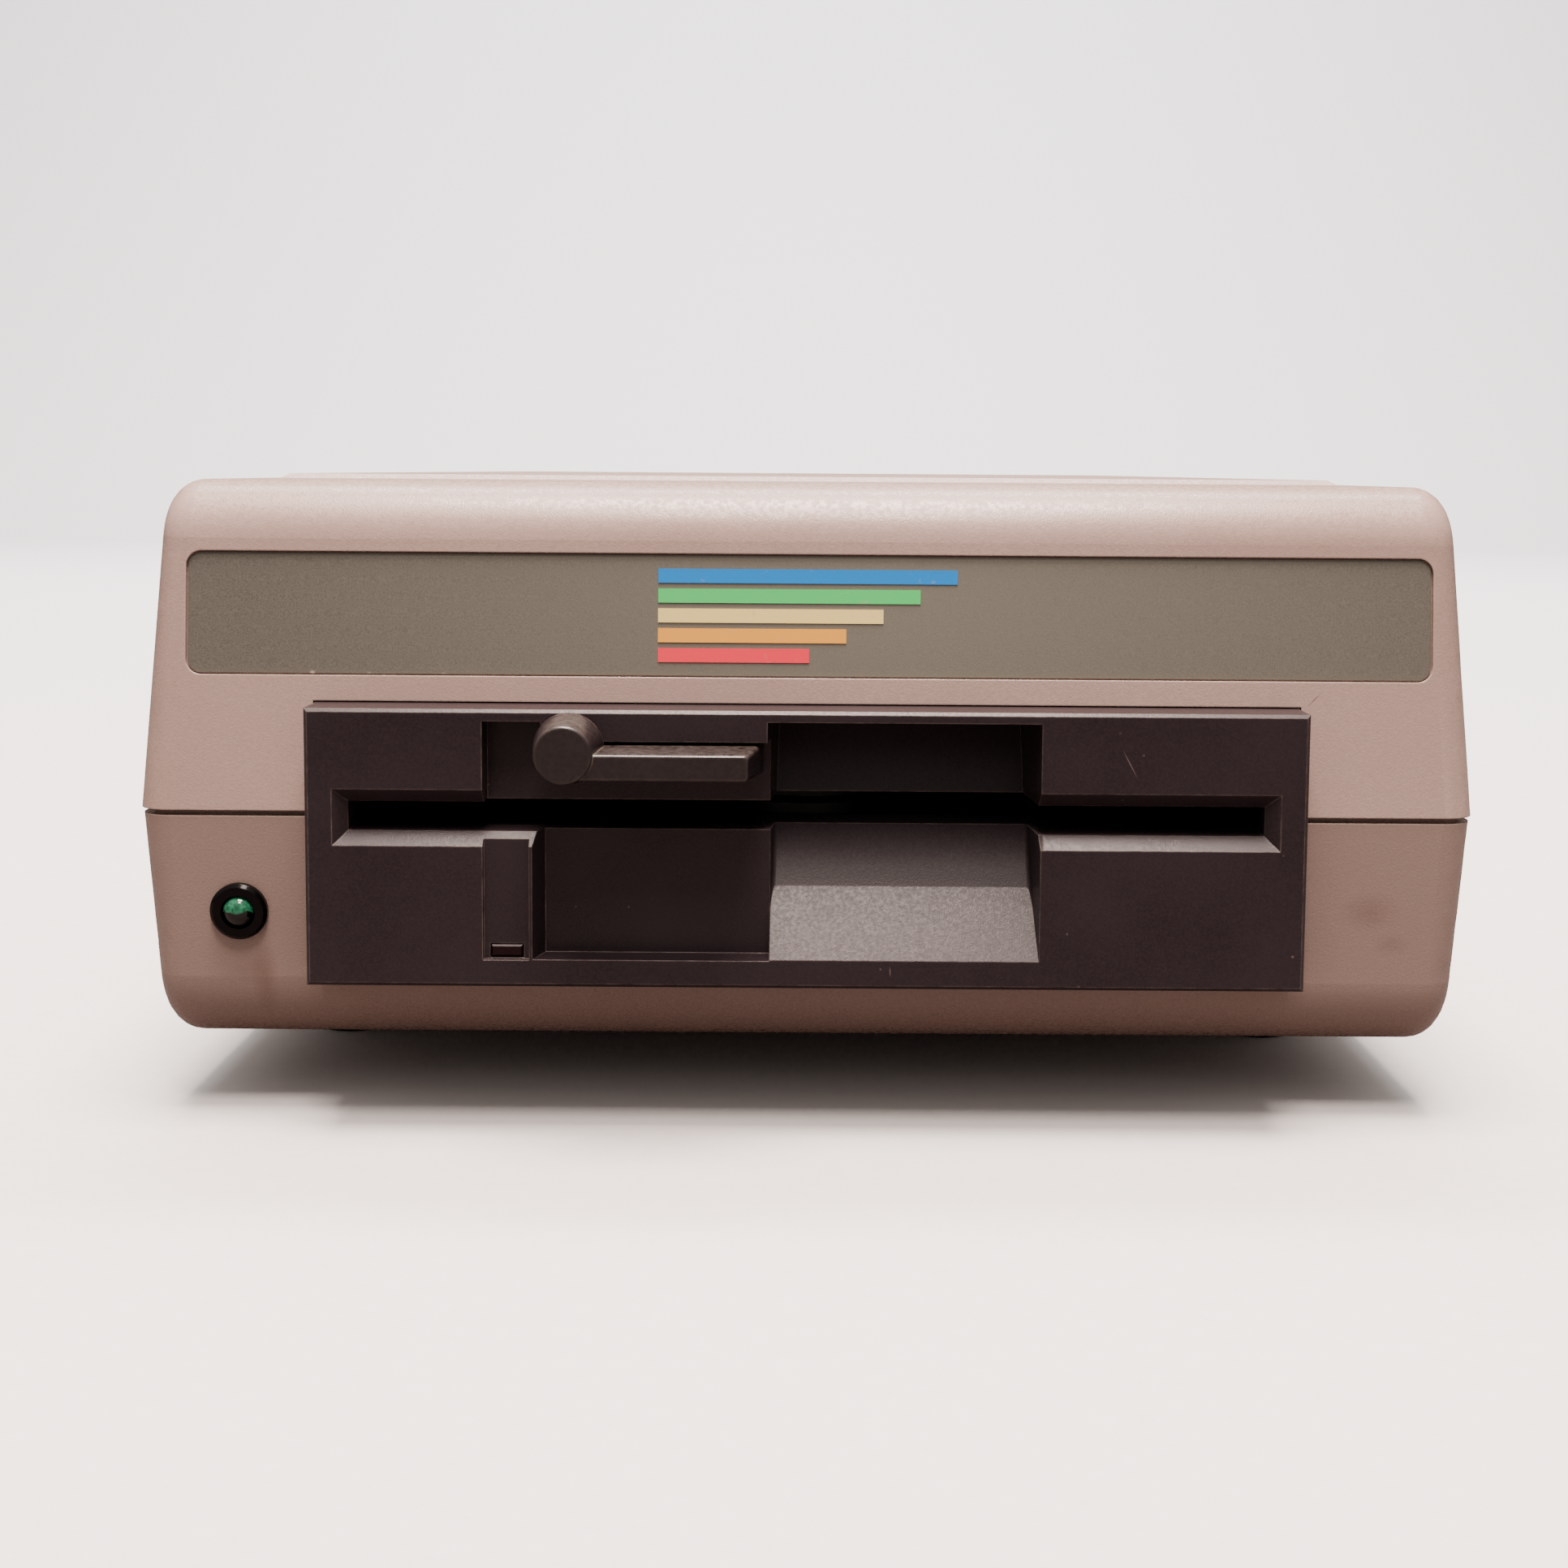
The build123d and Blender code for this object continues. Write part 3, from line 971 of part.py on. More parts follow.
FLANGE_H = HUB_TOP + GAP
with BuildPart() as clamp_cone_down:
    with BuildSketch(front(SPINDLE_Y)):
        with BuildLine():
            Polyline((CONE_PIN_R, FLANGE_H - 1), (9, FLANGE_H - 1), (9, FLANGE_H - 2.7),
                     (11, FLANGE_H - 2.7), (13.4, FLANGE_H), (17, FLANGE_H), (17, FLANGE_H + 1.4),
                     (6, FLANGE_H + 1.4), (6, ARM_FOOT - GAP), (CONE_PIN_R, ARM_FOOT - GAP), close=True)
        make_face()
    revolve(axis=SPIN_AXIS)
clamp_cone = clamp_cone_down.part.rotate(CLAMP_AXIS, -CLAMP_LIFT)
clamp_cone.label = "clamp_cone"
export_step(clamp_cone, "parts/clamp_cone.step")

with BuildPart() as cone_pin_down:
    with BuildSketch(plan(FLANGE_H - 1)):
        with Locations((0, SPINDLE_Y)):
            Circle(CONE_PIN_R)
    extrude(amount=BUSH_TOP + GAP + 1 - FLANGE_H + 1)
    with BuildSketch(plan(BUSH_TOP + GAP)):
        with Locations((0, SPINDLE_Y)):
            Circle(4.4)
    extrude(amount=1)
cone_pin = cone_pin_down.part.rotate(CLAMP_AXIS, -CLAMP_LIFT)
cone_pin.label = "cone_pin"
export_step(cone_pin, "parts/cone_pin.step")

# ---------------------------------------------------------------- tray
# Bent steel channel on the base's posts: the drive is screwed between its sides, and the circuit
# board lies on its turned-in lips.
TRAY_FRONT = 16.0
LIP_W = 8.0
BOARD_PLACES = [(x, y) for x in (-69, 69) for y in (30, 130, 228)]

with BuildPart() as drive_tray:
    half_tray = BEZEL_W / 2
    with BuildSketch(front(TRAY_FRONT)):
        span(-half_tray - TRAY_T, half_tray + TRAY_T, BEZEL_BOTTOM - TRAY_T, BOARD_H)
        span(-half_tray, half_tray, BEZEL_BOTTOM, BOARD_H - TRAY_T, mode=Mode.SUBTRACT)
        span(-half_tray + LIP_W, half_tray - LIP_W, BOARD_H - 2, BOARD_H + 1, mode=Mode.SUBTRACT)
    extrude(amount=TRAY_FRONT - TRAY_BACK)
    with BuildSketch(plan(BEZEL_BOTTOM - TRAY_T - PAST)):
        span(-54, 54, 32, 112)
        span(-54, 54, 124, 208)
        with Locations(*TRAY_PLACES):
            Circle(SMALL_CLEAR_R)
    extrude(amount=TRAY_T + 2 * PAST, mode=Mode.SUBTRACT)
    with BuildSketch(plan(BOARD_H - TRAY_T - PAST)):
        with Locations(*BOARD_PLACES):
            Circle(SMALL_CLEAR_R)
    extrude(amount=TRAY_T + 2 * PAST, mode=Mode.SUBTRACT)
    with BuildSketch(side(-half_tray - TRAY_T - PAST)):
        with Locations(*CHASSIS_SCREWS):
            Circle(SMALL_CLEAR_R)
    extrude(amount=2 * (half_tray + TRAY_T + PAST), mode=Mode.SUBTRACT)
drive_tray.part.label = "drive_tray"
export_step(drive_tray.part, "parts/drive_tray.step")

tray_screws = upright_screws(TRAY_PLACES, BEZEL_BOTTOM, 1, TRAY_T + 5)
tray_screws.label = "tray_screws"
export_step(tray_screws, "parts/tray_screws.step")

with BuildPart() as chassis_screws:
    with BuildSketch(side(BEZEL_W / 2 + TRAY_T)):
        with Locations(*CHASSIS_SCREWS):
            Circle(PAN_HEAD_R)
    extrude(amount=PAN_HEAD_H)
    with BuildSketch(side(BEZEL_W / 2 + TRAY_T)):
        with Locations(*CHASSIS_SCREWS):
            Circle(SMALL_SHANK_R)
    extrude(amount=-4)
    mirror(about=Plane.YZ)
chassis_screws.part.label = "chassis_screws"
export_step(chassis_screws.part, "parts/chassis_screws.step")

# ---------------------------------------------------------------- circuit board
BOARD_T = 1.6
BOARD_TOP = BOARD_H + BOARD_T
LONG_CHIPS = [(-40, 60), (-40, 90), (0, 60), (0, 90)]
SHORT_CHIPS = [(x, y) for x in (-50, -25, 0, 25) for y in (125, 150)]
CAN_PLACES = [(52, 190), (52, 215), (-52, 200)]
CHIP_H, CAN_R, CAN_H = 4.0, 9.0, 17.0

with BuildPart() as circuit_board:
    with BuildSketch(plan(BOARD_H)):
        span(-72, 72, 22, 236)
        with Locations(*BOARD_PLACES):
            Circle(SMALL_CLEAR_R, mode=Mode.SUBTRACT)
    extrude(amount=BOARD_T)
circuit_board.part.label = "circuit_board"
export_step(circuit_board.part, "parts/circuit_board.step")

board_screws = upright_screws(BOARD_PLACES, BOARD_TOP, 1, BOARD_T + 3)
board_screws.label = "board_screws"
export_step(board_screws, "parts/board_screws.step")

with BuildPart() as chips:
    with BuildSketch(plan(BOARD_TOP)):
        with Locations(*LONG_CHIPS):
            Rectangle(36, 14)
        with Locations(*SHORT_CHIPS):
            Rectangle(19, 7)
    extrude(amount=CHIP_H)
chips.part.label = "chips"
export_step(chips.part, "parts/chips.step")

with BuildPart() as capacitors:
    with BuildSketch(plan(BOARD_TOP)):
        with Locations(*CAN_PLACES):
            Circle(CAN_R)
    extrude(amount=CAN_H)
    chamfer(capacitors.edges().group_by(Axis.Z)[-1], 0.8)
capacitors.part.label = "capacitors"
export_step(capacitors.part, "parts/capacitors.step")

FIN_COUNT, FIN_PITCH, FIN_T, FIN_H, SINK_FOOT_T = 9, 6.0, 1.6, 14.0, 3.0
with BuildPart() as heat_sink:
    with BuildSketch(front(185)):
        with Locations((0, BOARD_TOP + SINK_FOOT_T / 2)):
            Rectangle(FIN_PITCH * (FIN_COUNT - 1) + FIN_T, SINK_FOOT_T)
        with Locations((0, BOARD_TOP + SINK_FOOT_T + FIN_H / 2)):
            with GridLocations(FIN_PITCH, 1, FIN_COUNT, 1):
                Rectangle(FIN_T, FIN_H)
    extrude(amount=-38)
heat_sink.part.label = "heat_sink"
export_step(heat_sink.part, "parts/heat_sink.step")

# ---------------------------------------------------------------- transformer
# Laminated shell core with the coil on its middle limb, held by a steel strap with two feet.
CORE_W, CORE_H, STACK = 66.0, 55.0, 30.0
LIMB, COIL_W, COIL_H = 22.0, 43.6, 32.6
CORE_MID = CORE_BOTTOM + CORE_H / 2
STRAP_DEEP, STRAP_SPREAD = 22.0, 90.0

with BuildPart() as transformer_core:
    with BuildSketch(front(CORE_Y - STACK / 2)):
        with Locations((CORE_X, CORE_MID)):
            Rectangle(CORE_W, CORE_H)
            with GridLocations((LIMB + COIL_W) / 2 + 0.2, 1, 2, 1):
                Rectangle((COIL_W - LIMB) / 2 + 0.2, COIL_H + 0.4, mode=Mode.SUBTRACT)
    extrude(amount=-STACK)
transformer_core.part.label = "transformer_core"
export_step(transformer_core.part, "parts/transformer_core.step")

with BuildPart() as transformer_coil:
    with BuildSketch(plan(CORE_MID - COIL_H / 2)):
        with Locations((CORE_X, CORE_Y)):
            RectangleRounded(COIL_W, STACK + 21, 6)
            Rectangle(LIMB, STACK, mode=Mode.SUBTRACT)
    extrude(amount=COIL_H)
transformer_coil.part.label = "transformer_coil"
export_step(transformer_coil.part, "parts/transformer_coil.step")

with BuildPart() as transformer_strap:
    with BuildSketch(front(CORE_Y - STRAP_DEEP / 2)):
        with Locations((CORE_X, CORE_MID + TRAY_T / 2)):
            Rectangle(CORE_W + 2 * TRAY_T, CORE_H + TRAY_T)
        with Locations((CORE_X, CORE_BOTTOM + TRAY_T / 2)):
            Rectangle(STRAP_SPREAD, TRAY_T)
        with Locations((CORE_X, CORE_MID)):
            Rectangle(CORE_W, CORE_H, mode=Mode.SUBTRACT)
    extrude(amount=-STRAP_DEEP)
    with BuildSketch(plan(CORE_BOTTOM - PAST)):
        with Locations(*STRAP_PLACES):
            Circle(SMALL_CLEAR_R)
    extrude(amount=TRAY_T + 2 * PAST, mode=Mode.SUBTRACT)
transformer_strap.part.label = "transformer_strap"
export_step(transformer_strap.part, "parts/transformer_strap.step")

strap_screws = upright_screws(STRAP_PLACES, CORE_BOTTOM + TRAY_T, 1, TRAY_T + 5)
strap_screws.label = "strap_screws"
export_step(strap_screws, "parts/strap_screws.step")

# ---------------------------------------------------------------- rear panel and its fittings
PANEL_BACK = PANEL_Y + PANEL_T
SWITCH_X, INLET_X, FUSE_X = -70.0, -42.0, -16.0
SOCKETS_X = (34.0, 68.0)
FITTING_H = -1.0
SOCKET_R, SOCKET_WALL = 7.6, 0.6
SWITCH_W, SWITCH_H = 17.0, 22.0         # bodies that pass through the panel
INLET_W, INLET_H = 27.4, 20.4
FUSE_R, FUSE_BORE_R = 6.2, 4.6
SOCKET_PLACES = [(x, FITTING_H) for x in SOCKETS_X]
SOCKET_SCREWS = [(x + dx, FITTING_H) for x in SOCKETS_X for dx in (-11.15, 11.15)]

with BuildPart() as rear_panel:
    with BuildSketch(front(PANEL_Y)):
        span(-PANEL_HALF_W, PANEL_HALF_W, -PANEL_HALF_H, PANEL_HALF_H)
        with Locations((SWITCH_X, FITTING_H)):
            Rectangle(SWITCH_W + FIT, SWITCH_H + FIT, mode=Mode.SUBTRACT)
        with Locations((INLET_X, FITTING_H)):
            Rectangle(INLET_W + FIT, INLET_H + FIT, mode=Mode.SUBTRACT)
        with Locations((FUSE_X, FITTING_H)):
            Circle(FUSE_R + FIT, mode=Mode.SUBTRACT)
        with Locations(*SOCKET_PLACES):
            Circle(SOCKET_R, mode=Mode.SUBTRACT)
        with Locations(*SOCKET_SCREWS):
            Circle(SMALL_CLEAR_R, mode=Mode.SUBTRACT)
    extrude(amount=-PANEL_T)
rear_panel.part.label = "rear_panel"
export_step(rear_panel.part, "parts/rear_panel.step")

# Snap-in mains inlet: a shroud with cut corners round three flat blades.
with BuildPart() as power_inlet:
    with BuildSketch(front(PANEL_BACK + 2)):
        with Locations((INLET_X, FITTING_H)):
            RectangleRounded(31, 24.5, 2)
    extrude(amount=2)
    with BuildSketch(front(PANEL_BACK)):
        with Locations((INLET_X, FITTING_H)):
            Rectangle(INLET_W, INLET_H)
    extrude(amount=21)
    with BuildSketch(front(PANEL_BACK + 3)):
        with BuildLine():
            Polyline((INLET_X - 12, FITTING_H - 8.1), (INLET_X + 12, FITTING_H - 8.1),
                     (INLET_X + 12, FITTING_H + 3.4), (INLET_X + 7.2, FITTING_H + 8.1),
                     (INLET_X - 7.2, FITTING_H + 8.1), (INLET_X - 12, FITTING_H + 3.4), close=True)
        make_face()
    extrude(amount=19, mode=Mode.SUBTRACT)
power_inlet.part.label = "power_inlet"
export_step(power_inlet.part, "parts/power_inlet.step")

with BuildPart() as inlet_blades:
    with BuildSketch(front(PANEL_BACK - 1)):
        with Locations((INLET_X - 7, FITTING_H - 2), (INLET_X + 7, FITTING_H - 2), (INLET_X, FITTING_H + 2)):
            Rectangle(2, 4)
    extrude(amount=13)
inlet_blades.part.label = "inlet_blades"
export_step(inlet_blades.part, "parts/inlet_blades.step")

# Fuse holder behind the panel, with a bayonet cap that turns a quarter to come out.
with BuildPart() as fuse_holder:
    with BuildSketch(front(PANEL_BACK + 1.2)):
        with Locations((FUSE_X, FITTING_H)):
            Circle(8.2)
    extrude(amount=1.2)
    with BuildSketch(front(PANEL_BACK)):
        with Locations((FUSE_X, FITTING_H)):
            Circle(FUSE_R)
    extrude(amount=27)
    with BuildSketch(front(PANEL_BACK + 2)):
        with Locations((FUSE_X, FITTING_H)):
            Circle(FUSE_BORE_R)
    extrude(amount=24, mode=Mode.SUBTRACT)
fuse_holder.part.label = "fuse_holder"
export_step(fuse_holder.part, "parts/fuse_holder.step")

with BuildPart() as fuse_cap:
    with BuildSketch(front(PANEL_BACK + 4.8)):
        with Locations((FUSE_X, FITTING_H)):
            Circle(6.8)
    extrude(amount=4.8 - 1.2 - GAP)
    chamfer(fuse_cap.edges().sort_by(Axis.Y)[-1], 0.6)
    with BuildSketch(front(PANEL_BACK + 2)):
        with Locations((FUSE_X, FITTING_H)):
            Circle(FUSE_BORE_R - RUN)
    extrude(amount=12)
    with BuildSketch(front(PANEL_BACK + 5)):
        with Locations((FUSE_X, FITTING_H)):
            Rectangle(15, 1.4)
    extrude(amount=1.2, mode=Mode.SUBTRACT)
fuse_cap.part.label = "fuse_cap"
export_step(fuse_cap.part, "parts/fuse_cap.step")

# Power switch: the rocker turns on two stub pins in the side walls of its frame.
ROCK_Y, ROCK_R, ROCK_TURN = 364.6, 9.0, 20.0
ROCKER_ROOM, ROCK_PIN_R, ROCK_PIN_LONG = 13.0, 1.2, 15.2
with BuildPart() as switch_frame:
    with BuildSketch(front(PANEL_BACK + 1.4)):
        with Locations((SWITCH_X, FITTING_H)):
            RectangleRounded(20.6, 26, 1.5)
    extrude(amount=1.4)
    with BuildSketch(front(PANEL_BACK)):
        with Locations((SWITCH_X, FITTING_H)):
            Rectangle(SWITCH_W, SWITCH_H)
    extrude(amount=19)
    with BuildSketch(front(PANEL_BACK + 3)):
        with Locations((SWITCH_X, FITTING_H)):
            Rectangle(ROCKER_ROOM, 2 * ROCK_R + 2 * GAP)
    extrude(amount=16, mode=Mode.SUBTRACT)
    with BuildSketch(side(SWITCH_X - 7.8)):
        with Locations((ROCK_Y, FITTING_H)):
            Circle(ROCK_PIN_R + RUN)
    extrude(amount=15.6, mode=Mode.SUBTRACT)
switch_frame.part.label = "switch_frame"
export_step(switch_frame.part, "parts/switch_frame.step")

ROCK_AXIS = Axis(at(SWITCH_X, ROCK_Y, FITTING_H), (1, 0, 0))
with BuildPart() as rocker_level:
    with BuildSketch(side(SWITCH_X - ROCKER_ROOM / 2 + GAP)):
        with Locations((ROCK_Y, FITTING_H)):
            Circle(ROCK_R)
            with Locations((-7, 0)):
                Rectangle(9, 20, mode=Mode.SUBTRACT)
        rise = 12 * tan(radians(ROCK_TURN / 2))
        with BuildLine():
            Polyline((ROCK_Y + 5, FITTING_H), (ROCK_Y + 5 + rise, FITTING_H + 12),
                     (ROCK_Y + 12, FITTING_H + 12), (ROCK_Y + 12, FITTING_H - 12),
                     (ROCK_Y + 5 + rise, FITTING_H - 12), close=True)
        make_face(mode=Mode.SUBTRACT)
    extrude(amount=ROCKER_ROOM - 2 * GAP)
    with BuildSketch(side(SWITCH_X - ROCK_PIN_LONG / 2)):
        with Locations((ROCK_Y, FITTING_H)):
            Circle(ROCK_PIN_R)
    extrude(amount=ROCK_PIN_LONG)
rocker = rocker_level.part.rotate(ROCK_AXIS, -ROCK_TURN / 2)
rocker.label = "rocker"
export_step(rocker, "parts/rocker.step")

# Two round six-pin sockets: a steel shell with a flange, round a black insert with pin holes.
with BuildPart() as socket_shells:
    with BuildSketch(front(PANEL_BACK + 0.8)):
        with Locations(*SOCKET_PLACES):
            SlotOverall(30, 15.8)
    extrude(amount=0.8)
    with BuildSketch(front(PANEL_BACK + 2)):
        with Locations(*SOCKET_PLACES):
            Circle(SOCKET_R)
    extrude(amount=14)
    with BuildSketch(front(PANEL_BACK + 3)):
        with Locations(*SOCKET_PLACES):
            Circle(SOCKET_R - SOCKET_WALL)
        with Locations(*SOCKET_SCREWS):
            Circle(SMALL_CLEAR_R)
    extrude(amount=20, mode=Mode.SUBTRACT)
socket_shells.part.label = "socket_shells"
export_step(socket_shells.part, "parts/socket_shells.step")

with BuildPart() as socket_inserts:
    with BuildSketch(front(PANEL_BACK + 1.2)):
        with Locations(*SOCKET_PLACES):
            Circle(SOCKET_R - SOCKET_WALL)
    extrude(amount=11)
    with BuildSketch(front(PANEL_BACK + 2)):
        with Locations(*SOCKET_PLACES):
            Circle(0.8)
            with PolarLocations(3.6, 5, start_angle=-30, angular_range=240):
                Circle(0.8)
            with Locations((0, -SOCKET_R + 1.2)):
                Rectangle(2.4, 1.4)
    extrude(amount=8, mode=Mode.SUBTRACT)
socket_inserts.part.label = "socket_inserts"
export_step(socket_inserts.part, "parts/socket_inserts.step")

with BuildPart() as panel_screws:
    with BuildSketch(front(PANEL_BACK + 0.8)):
        with Locations(*SOCKET_SCREWS):
            Circle(2.6)
    extrude(amount=-1.5)
    with BuildSketch(front(PANEL_BACK + 0.8)):
        with Locations(*SOCKET_SCREWS):
            Circle(1.3)
    extrude(amount=5)
panel_screws.part.label = "panel_screws"
export_step(panel_screws.part, "parts/panel_screws.step")
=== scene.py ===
from math import cos, pi, radians, sin

import bmesh
import bpy
from mathutils import Euler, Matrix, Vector


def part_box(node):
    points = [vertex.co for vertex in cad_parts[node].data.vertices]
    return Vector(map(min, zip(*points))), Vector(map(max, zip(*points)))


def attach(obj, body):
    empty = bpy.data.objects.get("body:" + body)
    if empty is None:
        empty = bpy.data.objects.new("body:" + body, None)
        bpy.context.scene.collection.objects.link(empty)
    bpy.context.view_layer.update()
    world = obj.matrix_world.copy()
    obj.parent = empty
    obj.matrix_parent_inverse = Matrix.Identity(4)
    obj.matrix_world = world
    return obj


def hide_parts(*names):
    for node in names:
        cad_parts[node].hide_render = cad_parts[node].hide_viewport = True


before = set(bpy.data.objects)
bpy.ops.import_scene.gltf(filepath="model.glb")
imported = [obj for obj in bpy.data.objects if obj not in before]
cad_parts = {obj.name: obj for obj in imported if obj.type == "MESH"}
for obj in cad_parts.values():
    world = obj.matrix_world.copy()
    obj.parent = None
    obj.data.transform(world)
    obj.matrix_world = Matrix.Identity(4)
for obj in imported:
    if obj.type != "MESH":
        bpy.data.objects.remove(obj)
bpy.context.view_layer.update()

# ---------------------------------------------------------------- case
# Two moulded halves of warm beige ABS. The mould was spark eroded, so the outside has a fine dull
# grain; the halves meet in a groove and are held by screws from below.
MM = 0.001
FACE_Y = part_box("bezel")[0].y                       # front of the black bezel
SEAM_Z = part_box("top_cover")[0].z                   # middle of the groove between the halves
BEND_SLIGHT, BEND_SHARP = 0.995, 0.93               # cosine of a bend where wear starts and is full
LEAST_WORN = 0.1                                    # share of wear on the least worn edges


def at(x, y, h):
    """A point in millimetres: x right, y behind the bezel's face, h above the seam."""
    return Vector((x * MM, FACE_Y + y * MM, SEAM_Z + h * MM))


def hex_colour(text):
    """An sRGB hex colour as linear red, green, blue and alpha."""
    shares = [int(text[i:i + 2], 16) / 255 for i in (0, 2, 4)]
    return (*[s / 12.92 if s <= 0.04045 else ((s + 0.055) / 1.055) ** 2.4 for s in shares], 1.0)


def add_node(tree, kind, sockets=None, **settings):
    """Adds a node, sets its properties, then sets or links its inputs by name or number."""
    made = tree.nodes.new(kind)
    for name, value in settings.items():
        setattr(made, name, value)
    for name, value in (sockets or {}).items():
        if isinstance(value, bpy.types.NodeSocket):
            tree.links.new(value, made.inputs[name])
        else:
            made.inputs[name].default_value = value
    return made


def new_material(name, **uniform):
    """A material with its shader: returns the material, its tree, shader and coordinates."""
    material = bpy.data.materials.new(name)
    material.use_nodes = True
    tree = material.node_tree
    tree.nodes.clear()
    shader = add_node(tree, "ShaderNodeBsdfPrincipled",
                      {key.replace("_", " "): value for key, value in uniform.items()})
    add_node(tree, "ShaderNodeOutputMaterial", {"Surface": shader.outputs["BSDF"]})
    place = add_node(tree, "ShaderNodeTexCoord").outputs["Object"]
    return material, tree, shader, place


def feed(tree, shader, **results):
    """Links the results of other nodes to the shader's inputs, with _ for a space."""
    for key, result in results.items():
        tree.links.new(result, shader.inputs[key.replace("_", " ")])


def spread(tree, value, low, high, to_low=0.0, to_high=1.0):
    """Stretches a value from one range to another, and stops at the ends."""
    return add_node(tree, "ShaderNodeMapRange", {
        "Value": value, "From Min": low, "From Max": high,
        "To Min": to_low, "To Max": to_high}).outputs[0]


def noise(tree, place, size_mm, low=0.3, high=0.7, detail=3.0):
    """Noise with features of a real size, stretched so that low gives 0 and high gives 1."""
    grain = add_node(tree, "ShaderNodeTexNoise",
                     {"Vector": place, "Scale": 1 / (size_mm * MM), "Detail": detail})
    return spread(tree, grain.outputs["Fac"], low, high)


def spot(tree, place, centre, radii_mm, turn=(0, 0, 0)):
    """A mask that fades from 1 at a centre to 0 at its three radii."""
    near = add_node(tree, "ShaderNodeMapping",
                    {"Vector": place, "Location": centre, "Rotation": [radians(a) for a in turn],
                     "Scale": [r * MM for r in radii_mm]}, vector_type="TEXTURE")
    return add_node(tree, "ShaderNodeTexGradient", {"Vector": near.outputs[0]},
                    gradient_type="SPHERICAL").outputs["Fac"]


def blend_colour(tree, share, first, second):
    """Mixes two colours, each a hex text or the colour that came out of another node."""
    first, second = [hex_colour(c) if isinstance(c, str) else c for c in (first, second)]
    return add_node(tree, "ShaderNodeMix", {0: share, 6: first, 7: second},
                    data_type="RGBA").outputs[2]


def maths(tree, operation, *values):
    """The result of arithmetic on one or two values, each a number or another node's result."""
    return add_node(tree, "ShaderNodeMath", dict(enumerate(values)),
                    operation=operation).outputs[0]


def scaled(tree, value, factor):
    """A value times a factor."""
    return maths(tree, "MULTIPLY", value, factor)


def coordinate(tree, vector, axis):
    """One of the three coordinates of a vector."""
    return add_node(tree, "ShaderNodeSeparateXYZ", {"Vector": vector}).outputs[axis]


def relief(tree, shader, height, depth_mm, edge_mm=0.0):
    """Gives the shader a relief of a real depth, and rounds sharp edges by edge_mm."""
    sockets = {"Height": height, "Distance": depth_mm * MM, "Strength": 1.0}
    if edge_mm:
        sockets["Normal"] = add_node(tree, "ShaderNodeBevel", {"Radius": edge_mm * MM},
                                     samples=6).outputs[0]
    bump = add_node(tree, "ShaderNodeBump", sockets)
    tree.links.new(bump.outputs[0], shader.inputs["Normal"])


def worn_edges(tree, place, width_mm, depth):
    """A mask of the sharp edges, broken up by noise: depth where an edge is most worn."""
    rounded = add_node(tree, "ShaderNodeBevel", {"Radius": width_mm * MM}, samples=4)
    plain = add_node(tree, "ShaderNodeNewGeometry")
    bend = add_node(tree, "ShaderNodeVectorMath", {
        0: rounded.outputs[0], 1: plain.outputs["Normal"]}, operation="DOT_PRODUCT")
    edge = spread(tree, bend.outputs["Value"], BEND_SLIGHT, BEND_SHARP)
    return scaled(tree, edge, spread(tree, noise(tree, place, 2.2), 0, 1, LEAST_WORN, depth))


def dress(material, *nodes):
    """Gives CAD nodes their finish and leaves their shapes alone."""
    for node in nodes:
        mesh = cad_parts[node].data
        mesh.materials.clear()
        mesh.materials.append(material)


# Spark-eroded ABS: dull, with a fine grain that glitters where the light grazes it, a slow drift
# of colour from ageing, paler worn edges, a few smudges and one hairline crack by the opening.
case_abs, tree, shader, place = new_material("spark_textured_abs", IOR=1.53)
mottle = noise(tree, place, 0.5, 0.25, 0.75, detail=5)
shade = blend_colour(tree, noise(tree, place, 70, 0.35, 0.65), "AE968C", "B8A198")
shade = blend_colour(tree, scaled(tree, mottle, 0.35), shade, "977B6F")
# the lower half is painted darker, more so further below the seam: painted shade, where its faces lean
# away from the light above
LOW_SHADE_FULL = 0.2 * SEAM_Z
height = coordinate(tree, place, "Z")
below = maths(tree, "LESS_THAN", height, SEAM_Z)
painted_low_shade = spread(tree, height, SEAM_Z, LOW_SHADE_FULL, 0.5, 0.7)
shade = blend_colour(tree, scaled(tree, below, painted_low_shade), shade, "8F7B73")
SMUDGES = (                                         # centre, radii in millimetres, strength
    (at(84.5, 10, -14), (5, 12, 3.4), 0.35),
    (at(88.0, 10, -19), (3, 12, 2.0), 0.25),
    (at(-83.0, 10, -24), (4, 12, 3.0), 0.2),
    (at(-81.4, 8, -25.8), (2.2, 12, 7.0), 0.4),
)
for centre, radii, depth in SMUDGES:
    smudge = scaled(tree, spot(tree, place, centre, radii), depth)
    shade = blend_colour(tree, smudge, shade, "6A4A40")
crack = spot(tree, place, at(75.3, 8, 17.9), (0.12, 12, 1.7), (0, 45, 0))
shade = blend_colour(tree, crack, shade, "6A4A42")
shade = blend_colour(tree, worn_edges(tree, place, 0.35, 0.6), shade, "D3C2B6")
glint = noise(tree, place, 0.8, 0.42, 0.6)
feed(tree, shader, Base_Color=shade, Roughness=spread(tree, glint, 0, 1, 0.22, 0.44))
relief(tree, shader, noise(tree, place, 0.27, detail=2), 0.014, edge_mm=0.3)
dress(case_abs, "top_cover", "base_case")

# ---------------------------------------------------------------- feet
# Four black rubber plugs, moulded and slightly dusty, pressed into the pads under the base. The
# drive belt is of the same rubber.
foot_rubber, tree, shader, place = new_material("moulded_black_rubber", Roughness=0.8)
dust_and_top_light = scaled(tree, noise(tree, place, 2.5, 0.45, 0.7), 0.3)
feed(tree, shader, Base_Color=blend_colour(tree, dust_and_top_light, "1C1B1B", "4A4643"))
relief(tree, shader, noise(tree, place, 0.5), 0.03, edge_mm=0.2)
dress(foot_rubber, "rubber_feet", "drive_belt")

